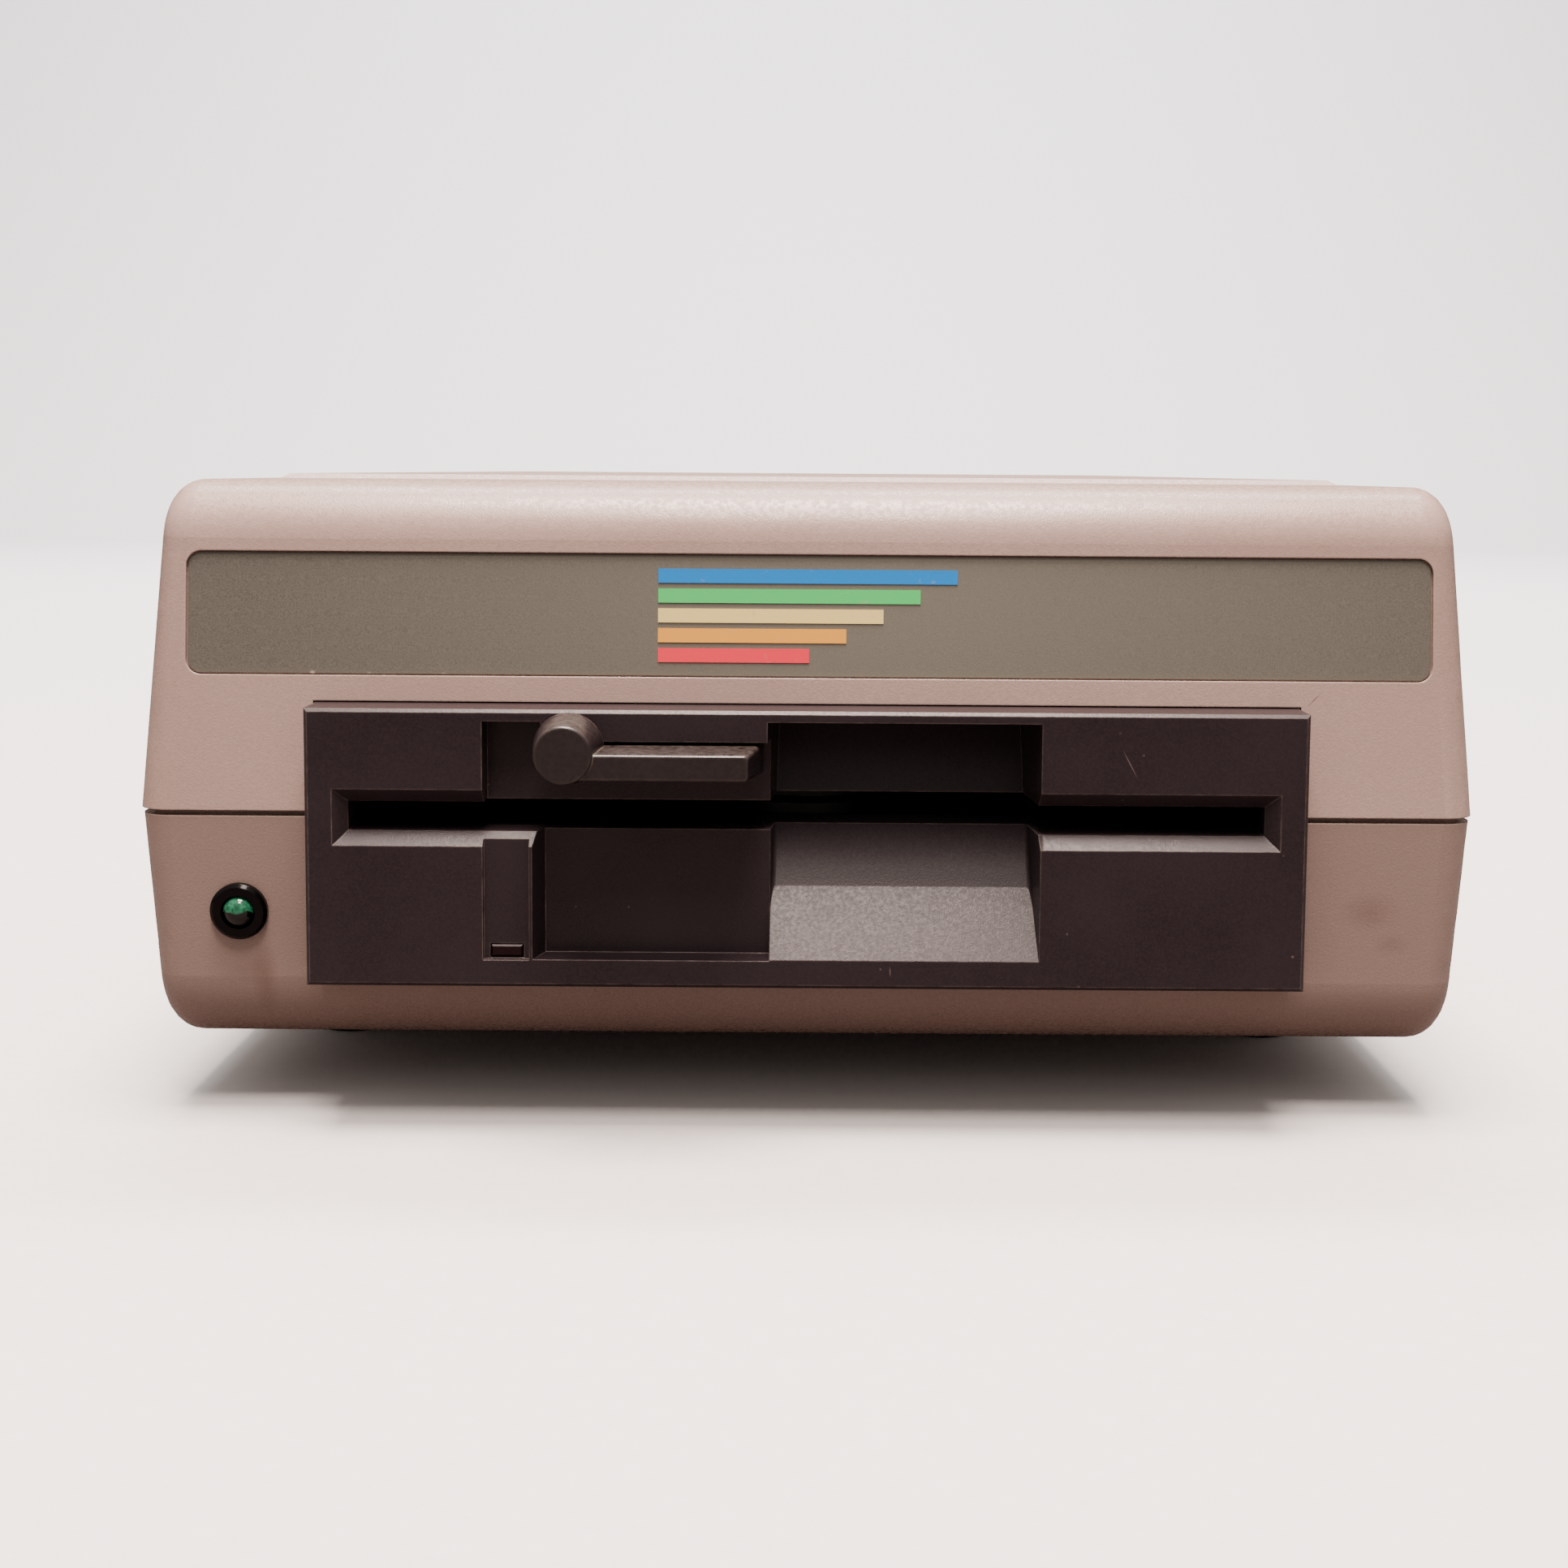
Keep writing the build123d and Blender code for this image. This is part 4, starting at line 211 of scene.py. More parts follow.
# ---------------------------------------------------------------- badge
# A strip of thin aluminium, printed olive grey over a fine grain and glued into a shallow sink in
# the cover's front. Plain bars of colour are screen printed on it, and nothing else.
badge_metal, tree, shader, place = new_material("printed_grained_aluminium", Metallic=0.25,
                                                Roughness=0.5)
grain = noise(tree, place, 0.22)
olive = blend_colour(tree, grain, "5C5B54", "757369")
# the plate is paler over its middle than at its ends
paler_middle = spot(tree, place, at(12, 4, 33), (95, 40, 60))
olive = blend_colour(tree, scaled(tree, paler_middle, 0.6), olive, "8B897C")
plate_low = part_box("badge_plate")[0]
CHIPS = ((-73.6, 0.55, 0.9), (-65.2, 0.4, 0.4), (-54.1, 0.4, 0.35))    # x and radius in mm, strength
for x, radius, depth in CHIPS:
    chip = spot(tree, place, Vector((x * MM, plate_low.y + MM, plate_low.z)), (radius, 5, radius))
    olive = blend_colour(tree, scaled(tree, chip, depth), olive, "E6D2C6")
feed(tree, shader, Base_Color=olive)
relief(tree, shader, grain, 0.006, edge_mm=0.1)
dress(badge_metal, "badge_plate")

BAR_COLOURS = ("FF3A52", "FFB544", "FFE896", "4CDC74", "008CE4")     # lowest bar first
bar_print, tree, shader, place = new_material("screen_printed_colour_bars", Roughness=0.42)
height = coordinate(tree, place, "Z")
bars_low, bars_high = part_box("badge_bars")
ink = BAR_COLOURS[0]
for row, colour in enumerate(BAR_COLOURS[1:], start=1):
    foot = bars_low.z + (bars_high.z - bars_low.z) * row / len(BAR_COLOURS)
    ink = blend_colour(tree, maths(tree, "GREATER_THAN", height, foot), ink, colour)
rubbed = scaled(tree, noise(tree, place, 1.1, 0.66, 0.76, detail=5), 0.4)
feed(tree, shader, Base_Color=blend_colour(tree, rubbed, ink, "B9AE9F"))
relief(tree, shader, noise(tree, place, 0.4), 0.006)
dress(bar_print, "badge_bars")

# ---------------------------------------------------------------- power lamp
# A 5 mm green lamp in a glossy black clip. The lens is tinted epoxy: light from above makes its
# upper part green, with a ragged lower edge where the cup's shadow begins.
clip_gloss, tree, shader, place = new_material("glossy_black_polyamide", Roughness=0.16,
                                               Specular_IOR_Level=0.15)
feed(tree, shader, Base_Color=blend_colour(tree, noise(tree, place, 1.5), "040303", "090708"))
relief(tree, shader, noise(tree, place, 0.8), 0.004, edge_mm=0.2)
dress(clip_gloss, "lamp_clip")

SHADE_FOOT, SHADE_TOP = at(0, 0, -14.7).z, at(0, 0, -14.45).z     # full shadow below, none above
RAGGED = 0.9 * MM                                                 # how far noise moves its edge
lens_green, tree, shader, place = new_material("green_epoxy_lens", Roughness=0.1, IOR=1.54)
raggedness = scaled(tree, noise(tree, place, 0.9), RAGGED)
ragged = maths(tree, "ADD", coordinate(tree, place, "Z"), raggedness)
lit = spread(tree, ragged, SHADE_FOOT, SHADE_TOP)
green = blend_colour(tree, noise(tree, place, 0.5, 0.4, 0.6), "174F38", "2A7454")
feed(tree, shader, Base_Color=blend_colour(tree, lit, "020806", green))
dress(lens_green, "power_lamp")

# ---------------------------------------------------------------- bezel
# One moulding of black-brown ABS with a flared slot, a finger notch and the lever's recess. Its
# flats are dull; handling has polished and scratched its edges and the notch's lower slope.
NOTCH_MIDDLE, NOTCH_HALF = 14.2 * MM, 20.2 * MM     # across the bezel
NOTCH_SIDE = 0.3 * MM                               # the dulling fades out over this at each side
NOTCH_DULL = (at(0, 0, -9.5).z, at(0, 0, -1).z)     # it grows over these heights
NOTCH_END = (at(0, 0, 1.5).z, at(0, 0, 0.5).z)      # and is gone at the first of these
bezel_abs, tree, shader, place = new_material("handled_black_abs", Specular_IOR_Level=0.3)
grain = noise(tree, place, 0.3, 0.35, 0.65)
base = blend_colour(tree, noise(tree, place, 18, 0.35, 0.65), "231B1F", "2B2327")
base = blend_colour(tree, scaled(tree, grain, 0.5), base, "372C31")
cells = add_node(tree, "ShaderNodeTexVoronoi", {"Vector": place, "Scale": 1 / (5 * MM)})
speck = spread(tree, cells.outputs["Distance"], 0.05, 0.015)
base = blend_colour(tree, scaled(tree, speck, 0.25), base, "8E8580")
SCRATCHES = (                                       # middle, radii in millimetres, lean in degrees
    (at(46.9, 0, 9.2), (0.11, 0.6, 2.6), 28),
    (at(30.9, 0, 10.0), (0.10, 0.6, 3.4), 8),
    (at(8.6, 3, -12.0), (0.12, 4.0, 2.6), 22),
    (at(12.4, 0, -21.6), (0.12, 0.6, 0.9), 4),
    (at(71.2, 0, -19.0), (0.3, 0.8, 0.25), 0),
)
for centre, radii, lean in SCRATCHES:
    scratch = scaled(tree, spot(tree, place, centre, radii, (0, -lean, 0)), 0.9)
    base = blend_colour(tree, scratch, base, "7A6C66")
base = blend_colour(tree, worn_edges(tree, place, 0.3, 0.75), base, "857870")
shine = spread(tree, noise(tree, place, 0.55, 0.35, 0.65, detail=2), 0, 1, 0.3, 0.385)
# the notch's floor is rubbed smooth by fingers at its foot and stays dull towards the slot
height = coordinate(tree, place, "Z")
aside = maths(tree, "SUBTRACT", coordinate(tree, place, "X"), NOTCH_MIDDLE)
aside = maths(tree, "ABSOLUTE", aside)
dull = spread(tree, height, *NOTCH_DULL, 0, 0.4)
dull = scaled(tree, dull, spread(tree, aside, NOTCH_HALF + NOTCH_SIDE, NOTCH_HALF))
dull = scaled(tree, dull, spread(tree, height, *NOTCH_END))
feed(tree, shader, Base_Color=base, Roughness=maths(tree, "ADD", shine, dull))
relief(tree, shader, noise(tree, place, 0.3), 0.006, edge_mm=0.22)
dress(bezel_abs, "bezel")


def two_tone(name, size_mm, first, second, **uniform):
    """A material whose colour drifts between two over a real size, and is otherwise uniform."""
    material, tree, shader, place = new_material(name, **uniform)
    feed(tree, shader, Base_Color=blend_colour(tree, noise(tree, place, size_mm), first, second))
    return material


dress(two_tone("dark_red_lens", 0.7, "12060A", "220A0E", Roughness=0.4, Specular_IOR_Level=0.2),
      "activity_lamp")

# ---------------------------------------------------------------- lever
# Knob and arm in one moulding of the same black plastic, polished by fingers, with upward faces
# painted paler by dust and a painted highlight from above, on a steel shaft that carries the cam.
lever_abs, tree, shader, place = new_material("finger_polished_black_abs", Coat_Weight=0.15)
base = blend_colour(tree, scaled(tree, noise(tree, place, 0.6), 0.5), "1A1416", "2E2527")
# upward faces are painted paler: partly dust, partly a painted highlight from the light above
facing = coordinate(tree, add_node(tree, "ShaderNodeNewGeometry").outputs["Normal"], "Z")
dust_and_top_light = scaled(tree, spread(tree, facing, 0.3, 1.0, 0, 0.27), noise(tree, place, 1.1, 0.3, 0.62))
base = blend_colour(tree, dust_and_top_light, base, "72675F")
base = blend_colour(tree, worn_edges(tree, place, 0.4, 0.7), base, "8A7D72")
rubbed = noise(tree, place, 5, 0.35, 0.65)
feed(tree, shader, Base_Color=base, Roughness=spread(tree, rubbed, 0, 1, 0.25, 0.4))
relief(tree, shader, noise(tree, place, 0.3), 0.005, edge_mm=0.25)
dress(lever_abs, "lever")


# ---------------------------------------------------------------- shafts, pins and rails
# Centreless-ground steel, pressed or running in bores: bright, with a fine lay of grinding marks
# across each shaft. The head's steel band is finished alike.
def streaks(tree, place, scales, size_mm, detail=3.0):
    """Noise that is drawn out along the axes whose scale is below 1."""
    drawn = add_node(tree, "ShaderNodeMapping", {"Vector": place, "Scale": scales})
    return noise(tree, drawn.outputs[0], size_mm, detail=detail)


ground_steel, tree, shader, place = new_material("ground_steel", Metallic=1.0)
lay = streaks(tree, place, (0.1, 1, 1), 0.25, detail=2)
feed(tree, shader, Base_Color=blend_colour(tree, lay, "9C9B98", "BDBBB6"),
     Roughness=spread(tree, lay, 0, 1, 0.18, 0.32))
relief(tree, shader, lay, 0.004)
dress(ground_steel, "lever_shaft", "clamp_pin", "cone_pin", "spindle_shaft", "motor_shaft",
      "carriage_rails", "pad_arm_pin", "spindle_bearings", "head_band")

# ---------------------------------------------------------------- drive chassis and turned metal
# The frame is die-cast aluminium, shot blasted, so it is matt with a coarse skin. The hub and the
# flywheel are turned and show rings about the spindle.
cast_metal, tree, shader, place = new_material("shot_blasted_cast_aluminium", Metallic=0.9)
skin = noise(tree, place, 0.8, detail=5)
feed(tree, shader, Base_Color=blend_colour(tree, skin, "7C7B79", "A09F9C"),
     Roughness=spread(tree, skin, 0, 1, 0.5, 0.68))
relief(tree, shader, skin, 0.06, edge_mm=0.3)
dress(cast_metal, "drive_chassis")

turned_metal, tree, shader, place = new_material("turned_aluminium", Metallic=1.0, Roughness=0.3)
hub_low, hub_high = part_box("spindle_hub")
centred = add_node(tree, "ShaderNodeMapping", {
    "Vector": place, "Location": (hub_low + hub_high) / 2}, vector_type="TEXTURE")
rings = add_node(tree, "ShaderNodeTexWave", {
    "Vector": centred.outputs[0], "Scale": 1 / (0.9 * MM)},
    wave_type="RINGS", rings_direction="Z").outputs["Fac"]
feed(tree, shader, Base_Color=blend_colour(tree, rings, "A5A4A2", "C6C5C2"))
relief(tree, shader, rings, 0.01, edge_mm=0.15)
dress(turned_metal, "spindle_hub", "flywheel")

# ---------------------------------------------------------------- moulded parts of the mechanism
# Guides, carriage and rear fittings are moulded in glass-filled nylon, black and faintly streaky;
# the cam and the clamp's cone are natural acetal, milky and waxy.
black_nylon, tree, shader, place = new_material("glass_filled_black_nylon")
flow = streaks(tree, place, (1, 0.25, 1), 1.2, detail=4)
feed(tree, shader, Base_Color=blend_colour(tree, flow, "0F0E0E", "242221"),
     Roughness=spread(tree, flow, 0, 1, 0.4, 0.6))
relief(tree, shader, flow, 0.015, edge_mm=0.2)
dress(black_nylon, "disk_guide_left", "disk_guide_right", "notch_sensor", "head_carriage",
      "pad_arm", "power_inlet", "fuse_holder", "fuse_cap", "switch_frame", "socket_inserts")

dress(two_tone("natural_acetal", 3, "D9D4C4", "E6E2D5", Roughness=0.38, Subsurface_Weight=0.1),
      "lever_cam", "clamp_cone")


# ---------------------------------------------------------------- rocker
# The mains switch's rocker is the same nylon, glossier, with a bar printed at its top and a ring
# below it for on and off.
def within(tree, value, reach):
    """1 where the value lies closer to zero than reach."""
    return maths(tree, "LESS_THAN", maths(tree, "ABSOLUTE", value), reach)


MARK_UP, MARK_HALF = 4.6 * MM, 1.8 * MM             # the marks' distance from the middle, half a bar
RING_R, STROKE = 1.7 * MM, 0.35 * MM                # the ring's radius, half the width of its line
rocker_low, rocker_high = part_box("rocker")
middle = (rocker_low + rocker_high) / 2
switch_gloss, tree, shader, place = new_material("glossy_rocker_nylon", Roughness=0.22)
height = coordinate(tree, place, "Z")
aside = maths(tree, "SUBTRACT", coordinate(tree, place, "X"), middle.x)
above_bar = maths(tree, "SUBTRACT", height, middle.z + MARK_UP)
above_ring = maths(tree, "SUBTRACT", height, middle.z - MARK_UP)
bar = scaled(tree, within(tree, aside, STROKE), within(tree, above_bar, MARK_HALF))
from_ring = add_node(tree, "ShaderNodeCombineXYZ", {"X": aside, "Y": above_ring})
reach = add_node(tree, "ShaderNodeVectorMath", {0: from_ring.outputs[0]}, operation="LENGTH")
ring = within(tree, maths(tree, "SUBTRACT", reach.outputs["Value"], RING_R), STROKE)
marks = maths(tree, "MAXIMUM", bar, ring)
base = blend_colour(tree, noise(tree, place, 2), "0D0C0C", "171616")
feed(tree, shader, Base_Color=blend_colour(tree, marks, base, "D8D4CC"))
relief(tree, shader, marks, 0.02, edge_mm=0.2)
dress(switch_gloss, "rocker")

# ---------------------------------------------------------------- motors, pulley and capstan
# The motors have deep-drawn, nickel-plated steel cans with a soft vertical draw. The pulley, the
# capstan and the inlet's blades are turned or cut from brass.
motor_can, tree, shader, place = new_material("drawn_plated_steel", Metallic=1.0)
draw = streaks(tree, place, (1, 1, 0.08), 0.6)
feed(tree, shader, Base_Color=blend_colour(tree, draw, "85837E", "A5A29B"),
     Roughness=spread(tree, draw, 0, 1, 0.28, 0.42))
dress(motor_can, "spindle_motor", "stepper_motor")
dress(two_tone("turned_brass", 1.5, "B08A45", "D1AE66", Metallic=1.0, Roughness=0.28),
      "motor_pulley", "stepper_capstan", "inlet_blades")

# ---------------------------------------------------------------- head and pad
# The head is polished ferrite in ceramic, set in the carriage; the pad that holds the disk down on
# it is pressed white felt, glued to the arm above.
dress(two_tone("polished_head_ceramic", 2, "C9C3B8", "DAD5CB", Roughness=0.12), "magnetic_head")

felt, tree, shader, place = new_material("pressed_white_felt", Roughness=0.95, Sheen_Weight=0.4)
hairs = noise(tree, place, 0.3, detail=5)
feed(tree, shader, Base_Color=blend_colour(tree, hairs, "B9B3A6", "DCD7CB"))
relief(tree, shader, hairs, 0.08)
dress(felt, "pressure_pad")

# ---------------------------------------------------------------- tray, arm and strap
# The tray, the clamp's arm and the transformer's strap are punched and bent from zinc-plated sheet
# steel: a faint crystal spangle and a cool sheen with finger-dull patches.
zinc_sheet, tree, shader, place = new_material("zinc_plated_sheet_steel", Metallic=1.0)
spangle = add_node(tree, "ShaderNodeTexVoronoi", {"Vector": place, "Scale": 1 / (5 * MM)})
flake = spread(tree, spangle.outputs["Distance"], 0.0, 0.8)
feed(tree, shader, Base_Color=blend_colour(tree, flake, "8F9194", "AEB0B1"),
     Roughness=spread(tree, noise(tree, place, 14), 0, 1, 0.32, 0.5))
dress(zinc_sheet, "drive_tray", "clamp_arm", "transformer_strap")

# ---------------------------------------------------------------- circuit board
# Green solder mask over copper tracks on glass-fibre laminate, with black epoxy chips, sleeved
# capacitors and a black anodised heat sink.
laminate, tree, shader, place = new_material("solder_masked_laminate", Roughness=0.3)
nearest, next_nearest = [
    add_node(tree, "ShaderNodeTexVoronoi", {"Vector": place, "Scale": 1 / (5 * MM)},
             feature=feature, distance="CHEBYCHEV").outputs["Distance"]
    for feature in ("F1", "F2")]
# tracks are the right-angled lines between square cells
tracks = spread(tree, maths(tree, "SUBTRACT", next_nearest, nearest), 0.1, 0.07)
mask = blend_colour(tree, noise(tree, place, 30), "12381B", "184722")
feed(tree, shader, Base_Color=blend_colour(tree, tracks, mask, "2F7038"))
relief(tree, shader, tracks, 0.03)
dress(laminate, "circuit_board")
dress(two_tone("moulded_chip_epoxy", 0.5, "141414", "232222", Roughness=0.55), "chips")
dress(two_tone("shrunk_blue_sleeve", 6, "121E4A", "1C2C63", Roughness=0.25), "capacitors")

anodised, tree, shader, place = new_material("black_anodised_extrusion", Metallic=0.6,
                                             Roughness=0.42)
drawn = streaks(tree, place, (1, 0.05, 1), 0.5)
feed(tree, shader, Base_Color=blend_colour(tree, drawn, "161617", "2A2A2B"))
dress(anodised, "heat_sink")


# ---------------------------------------------------------------- transformer
# A stack of varnished laminations, seen as fine lines on edge, round a coil that is wound in
# layers and taped in amber polyester.
def bands(tree, place, scale_mm, axis):
    """Even bands across an axis."""
    return add_node(tree, "ShaderNodeTexWave", {"Vector": place, "Scale": 1 / (scale_mm * MM)},
                    bands_direction=axis).outputs["Fac"]


core_steel, tree, shader, place = new_material("varnished_laminations", Metallic=0.5)
sheets = bands(tree, place, 3.2, "Y")
feed(tree, shader, Base_Color=blend_colour(tree, sheets, "2A2522", "4B433D"),
     Roughness=spread(tree, sheets, 0, 1, 0.35, 0.6))
relief(tree, shader, sheets, 0.08)
dress(core_steel, "transformer_core")

coil_tape, tree, shader, place = new_material("amber_polyester_tape", Roughness=0.3)
layers = bands(tree, place, 2.4, "Z")
feed(tree, shader, Base_Color=blend_colour(tree, layers, "8A6420", "B58A34"))
relief(tree, shader, layers, 0.05, edge_mm=0.5)
dress(coil_tape, "transformer_coil")

# ---------------------------------------------------------------- rear panel and sockets
# The panel is sheet steel with a dark baked paint, screwed to the case; the round sockets riveted
# to it have nickel-plated shells.
panel_paint, tree, shader, place = new_material("baked_dark_paint", Roughness=0.45)
orange_peel = noise(tree, place, 1.2)
feed(tree, shader, Base_Color=blend_colour(tree, orange_peel, "2A2522", "332D29"))
relief(tree, shader, orange_peel, 0.02, edge_mm=0.2)
dress(panel_paint, "rear_panel")
dress(two_tone("nickel_plate", 2, "A9A59C", "C4C0B6", Metallic=1.0, Roughness=0.22),
      "socket_shells")

# ---------------------------------------------------------------- screws
# Zinc-plated steel: cold-headed pan heads with a cross recess, over rolled threads. Each node's
# screws are alike, so one is modelled at its real size and a tree places it wherever the frame
# has one.
WELD = 0.001 * MM                           # points closer than this are one
LEVEL_DIGITS = 6                            # heights are told apart to a thousandth of a millimetre
TIP_REACH = 0.01 * MM                       # points this close to the tip belong to its edge
SHARP_BEND = radians(32)                    # edges that bend more stay sharp
THREAD_PITCH, THREAD_DEPTH = 0.7 * MM, 0.22 * MM
# radius and height of the head's outline, as shares of the head's own
HEAD_PROFILE = ((1.0, 0.0), (1.0, 0.42), (0.95, 0.66), (0.82, 0.85), (0.55, 0.97), (0.0, 1.0))
ROUND_STEPS = 40                            # sides of a round screw
CROSS_ARM, CROSS_HALF = 0.56, 0.1           # of the head's radius
CROSS_FLOOR, CROSS_LIP = 0.3, 1.4           # of the head's height
CROSS_AT_FLOOR, CROSS_AT_LIP = 0.6, 1.2     # the cross tapers from its lip to its floor
SCREW_NODES = ("case_screws", "tray_screws", "chassis_screws", "board_screws", "panel_screws",
               "strap_screws")
zinc_screw, tree, shader, place = new_material("zinc_plated_screw", Metallic=1.0)
feed(tree, shader, Base_Color=blend_colour(tree, noise(tree, place, 0.7), "8B8C8E", "B4B5B6"),
     Roughness=spread(tree, noise(tree, place, 1.6), 0, 1, 0.24, 0.42))


def solids(node):
    """The points of each separate solid in a CAD node, in the same order every time."""
    mesh = bmesh.new()
    mesh.from_mesh(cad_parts[node].data)
    bmesh.ops.remove_doubles(mesh, verts=mesh.verts, dist=WELD)
    left, found = dict.fromkeys(mesh.verts), []
    while left:
        reached, waiting = [], [left.popitem()[0]]
        while waiting:
            here = waiting.pop()
            reached.append(here)
            for there in [edge.other_vert(here) for edge in here.link_edges]:
                if there in left:
                    del left[there]
                    waiting.append(there)
        found.append([v.co.copy() for v in reached])
    mesh.free()
    return found


def extent(points):
    """The low and high corner of some points."""
    return [Vector([pick(p[i] for p in points) for i in range(3)]) for pick in (min, max)]


def new_piece(name, mesh, material=None):
    """A smooth-shaded object with sharp edges kept."""
    mesh.polygons.foreach_set("use_smooth", [True] * len(mesh.polygons))
    mesh.set_sharp_from_angle(angle=SHARP_BEND)
    if material:
        mesh.materials.clear()
        mesh.materials.append(material)
    piece = bpy.data.objects.new(name, mesh)
    bpy.context.collection.objects.link(piece)
    return piece


def prism(name, outline, lifts, scales):
    """A closed solid from an outline in x and y, repeated at each height and scale."""
    mesh = bmesh.new()
    rows = [[mesh.verts.new((x * scale, y * scale, lift)) for x, y in outline]
            for lift, scale in zip(lifts, scales)]
    for low, high in zip(rows, rows[1:]):
        for i in range(len(outline)):
            j = (i + 1) % len(outline)
            mesh.faces.new((low[i], low[j], high[j], high[i]))
    mesh.faces.new(rows[0][::-1])
    mesh.faces.new(rows[-1])
    bmesh.ops.recalc_face_normals(mesh, faces=mesh.faces)
    made = bpy.data.meshes.new(name)
    mesh.to_mesh(made)
    mesh.free()
    return made


def evaluated_mesh(piece):
    """The mesh that an object has once its modifiers have run."""
    return bpy.data.meshes.new_from_object(
        piece.evaluated_get(bpy.context.evaluated_depsgraph_get()))


def pan_screw(head_r, head_h, shank_r, shank_l):
    """One screw: head above the origin, threads below it, with the cross cut by a Boolean."""
    turns = int(shank_l / THREAD_PITCH)
    outline = [(0.0, -shank_l)]
    for i in range(turns):
        foot = -shank_l + i * shank_l / turns
        outline += [(shank_r - THREAD_DEPTH, foot), (shank_r, foot + 0.5 * shank_l / turns)]
    outline += [(shank_r - THREAD_DEPTH, 0.0)]
    outline += [(r * head_r, z * head_h) for r, z in HEAD_PROFILE]
    mesh = bmesh.new()
    line = [mesh.verts.new((r, 0, z)) for r, z in outline]
    edges = [mesh.edges.new(pair) for pair in zip(line, line[1:])]
    bmesh.ops.spin(mesh, geom=line + edges, cent=(0, 0, 0), axis=(0, 0, 1), angle=2 * pi,
                   steps=ROUND_STEPS)
    bmesh.ops.remove_doubles(mesh, verts=mesh.verts, dist=WELD)
    bmesh.ops.recalc_face_normals(mesh, faces=mesh.faces)
    blank = bpy.data.meshes.new("screw_blank")
    mesh.to_mesh(blank)
    mesh.free()
    arm, half = CROSS_ARM * head_r, CROSS_HALF * head_r
    plus = ((half, half), (half, arm), (-half, arm), (-half, half), (-arm, half), (-arm, -half),
            (-half, -half), (-half, -arm), (half, -arm), (half, -half), (arm, -half), (arm, half))
    punch = prism("cross_punch", plus[::-1], (CROSS_FLOOR * head_h, CROSS_LIP * head_h),
                  (CROSS_AT_FLOOR, CROSS_AT_LIP))
    cross = new_piece("cross_punch", punch)
    screw = new_piece("screw_blank", blank)
    cut = screw.modifiers.new("recess", "BOOLEAN")
    cut.object, cut.operation, cut.solver = cross, "DIFFERENCE", "EXACT"
    made = evaluated_mesh(screw)
    bpy.data.objects.remove(screw)
    bpy.data.objects.remove(cross)
    return made


# The tree: an object is put at every point with that point's turn, and the copies made real.
scatter_tree = bpy.data.node_groups.new("scatter_hardware", "GeometryNodeTree")
scatter_inputs = {}
for label, kind in (("Places", "Geometry"), ("Hardware", "Object"), ("Finish", "Material")):
    socket = scatter_tree.interface.new_socket(label, in_out="INPUT",
                                               socket_type="NodeSocket" + kind)
    scatter_inputs[label] = socket.identifier
scatter_tree.interface.new_socket("Pieces", in_out="OUTPUT", socket_type="NodeSocketGeometry")
given = add_node(scatter_tree, "NodeGroupInput").outputs
item = add_node(scatter_tree, "GeometryNodeObjectInfo", {"Object": given["Hardware"]})
turn = add_node(scatter_tree, "GeometryNodeInputNamedAttribute", {"Name": "turn"},
                data_type="FLOAT_VECTOR")
copies = add_node(scatter_tree, "GeometryNodeInstanceOnPoints", {
    "Points": given["Places"], "Instance": item.outputs["Geometry"],
    "Rotation": turn.outputs["Attribute"]})
real = add_node(scatter_tree, "GeometryNodeRealizeInstances", {0: copies.outputs[0]})
finished = add_node(scatter_tree, "GeometryNodeSetMaterial", {
    "Geometry": real.outputs[0], "Material": given["Finish"]})
add_node(scatter_tree, "NodeGroupOutput", {0: finished.outputs[0]})


def scatter(name, hardware, places, material):
    """A piece made of one mesh repeated at places, each a point and a turn."""
    points = bpy.data.meshes.new(name + "_places")
    points.from_pydata([point for point, _ in places], [], [])
    turns = points.attributes.new("turn", "FLOAT_VECTOR", "POINT")
    turns.data.foreach_set("vector", [angle for _, turn in places for angle in turn])
    item = new_piece(name + "_item", hardware)
    holder = bpy.data.objects.new(name + "_places", points)
    bpy.context.collection.objects.link(holder)
    modifier = holder.modifiers.new("scatter", "NODES")
    modifier.node_group = scatter_tree
    modifier[scatter_inputs["Hardware"]] = item
    modifier[scatter_inputs["Finish"]] = material
    made = evaluated_mesh(holder)
    made.name = name
    bpy.data.objects.remove(holder)
    bpy.data.objects.remove(item)
    return new_piece(name, made, material)


for node in SCREW_NODES:
    places = []
    for points in solids(node):
        low, high = extent(points)
        size = high - low
        along = max(range(3), key=lambda i: size[i])
        across = (along + 1) % 3
        # three levels along the screw: its tip, its head's underside and its top, or reversed
        levels = sorted({round(p[along], LEVEL_DIGITS) for p in points})
        under = levels[1]
        head_up = levels[2] - under < under - levels[0]
        top, tip = (levels[2], levels[0]) if head_up else (levels[0], levels[2])
        seat = (low + high) / 2
        seat[along] = under
        heading = Vector([0, 0, 0])
        heading[along] = 1 if head_up else -1
        places.append((seat, heading.to_track_quat("Z", "Y").to_euler()))
        head_r = size[across] / 2
        shank_r = max(abs(p[across] - seat[across]) for p in points
                      if abs(p[along] - tip) < TIP_REACH)
    screw = pan_screw(head_r, abs(top - under), shank_r, abs(under - tip))
    piece = scatter(node + "_threaded", screw, places, zinc_screw)
    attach(piece, "case")
    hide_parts(node)

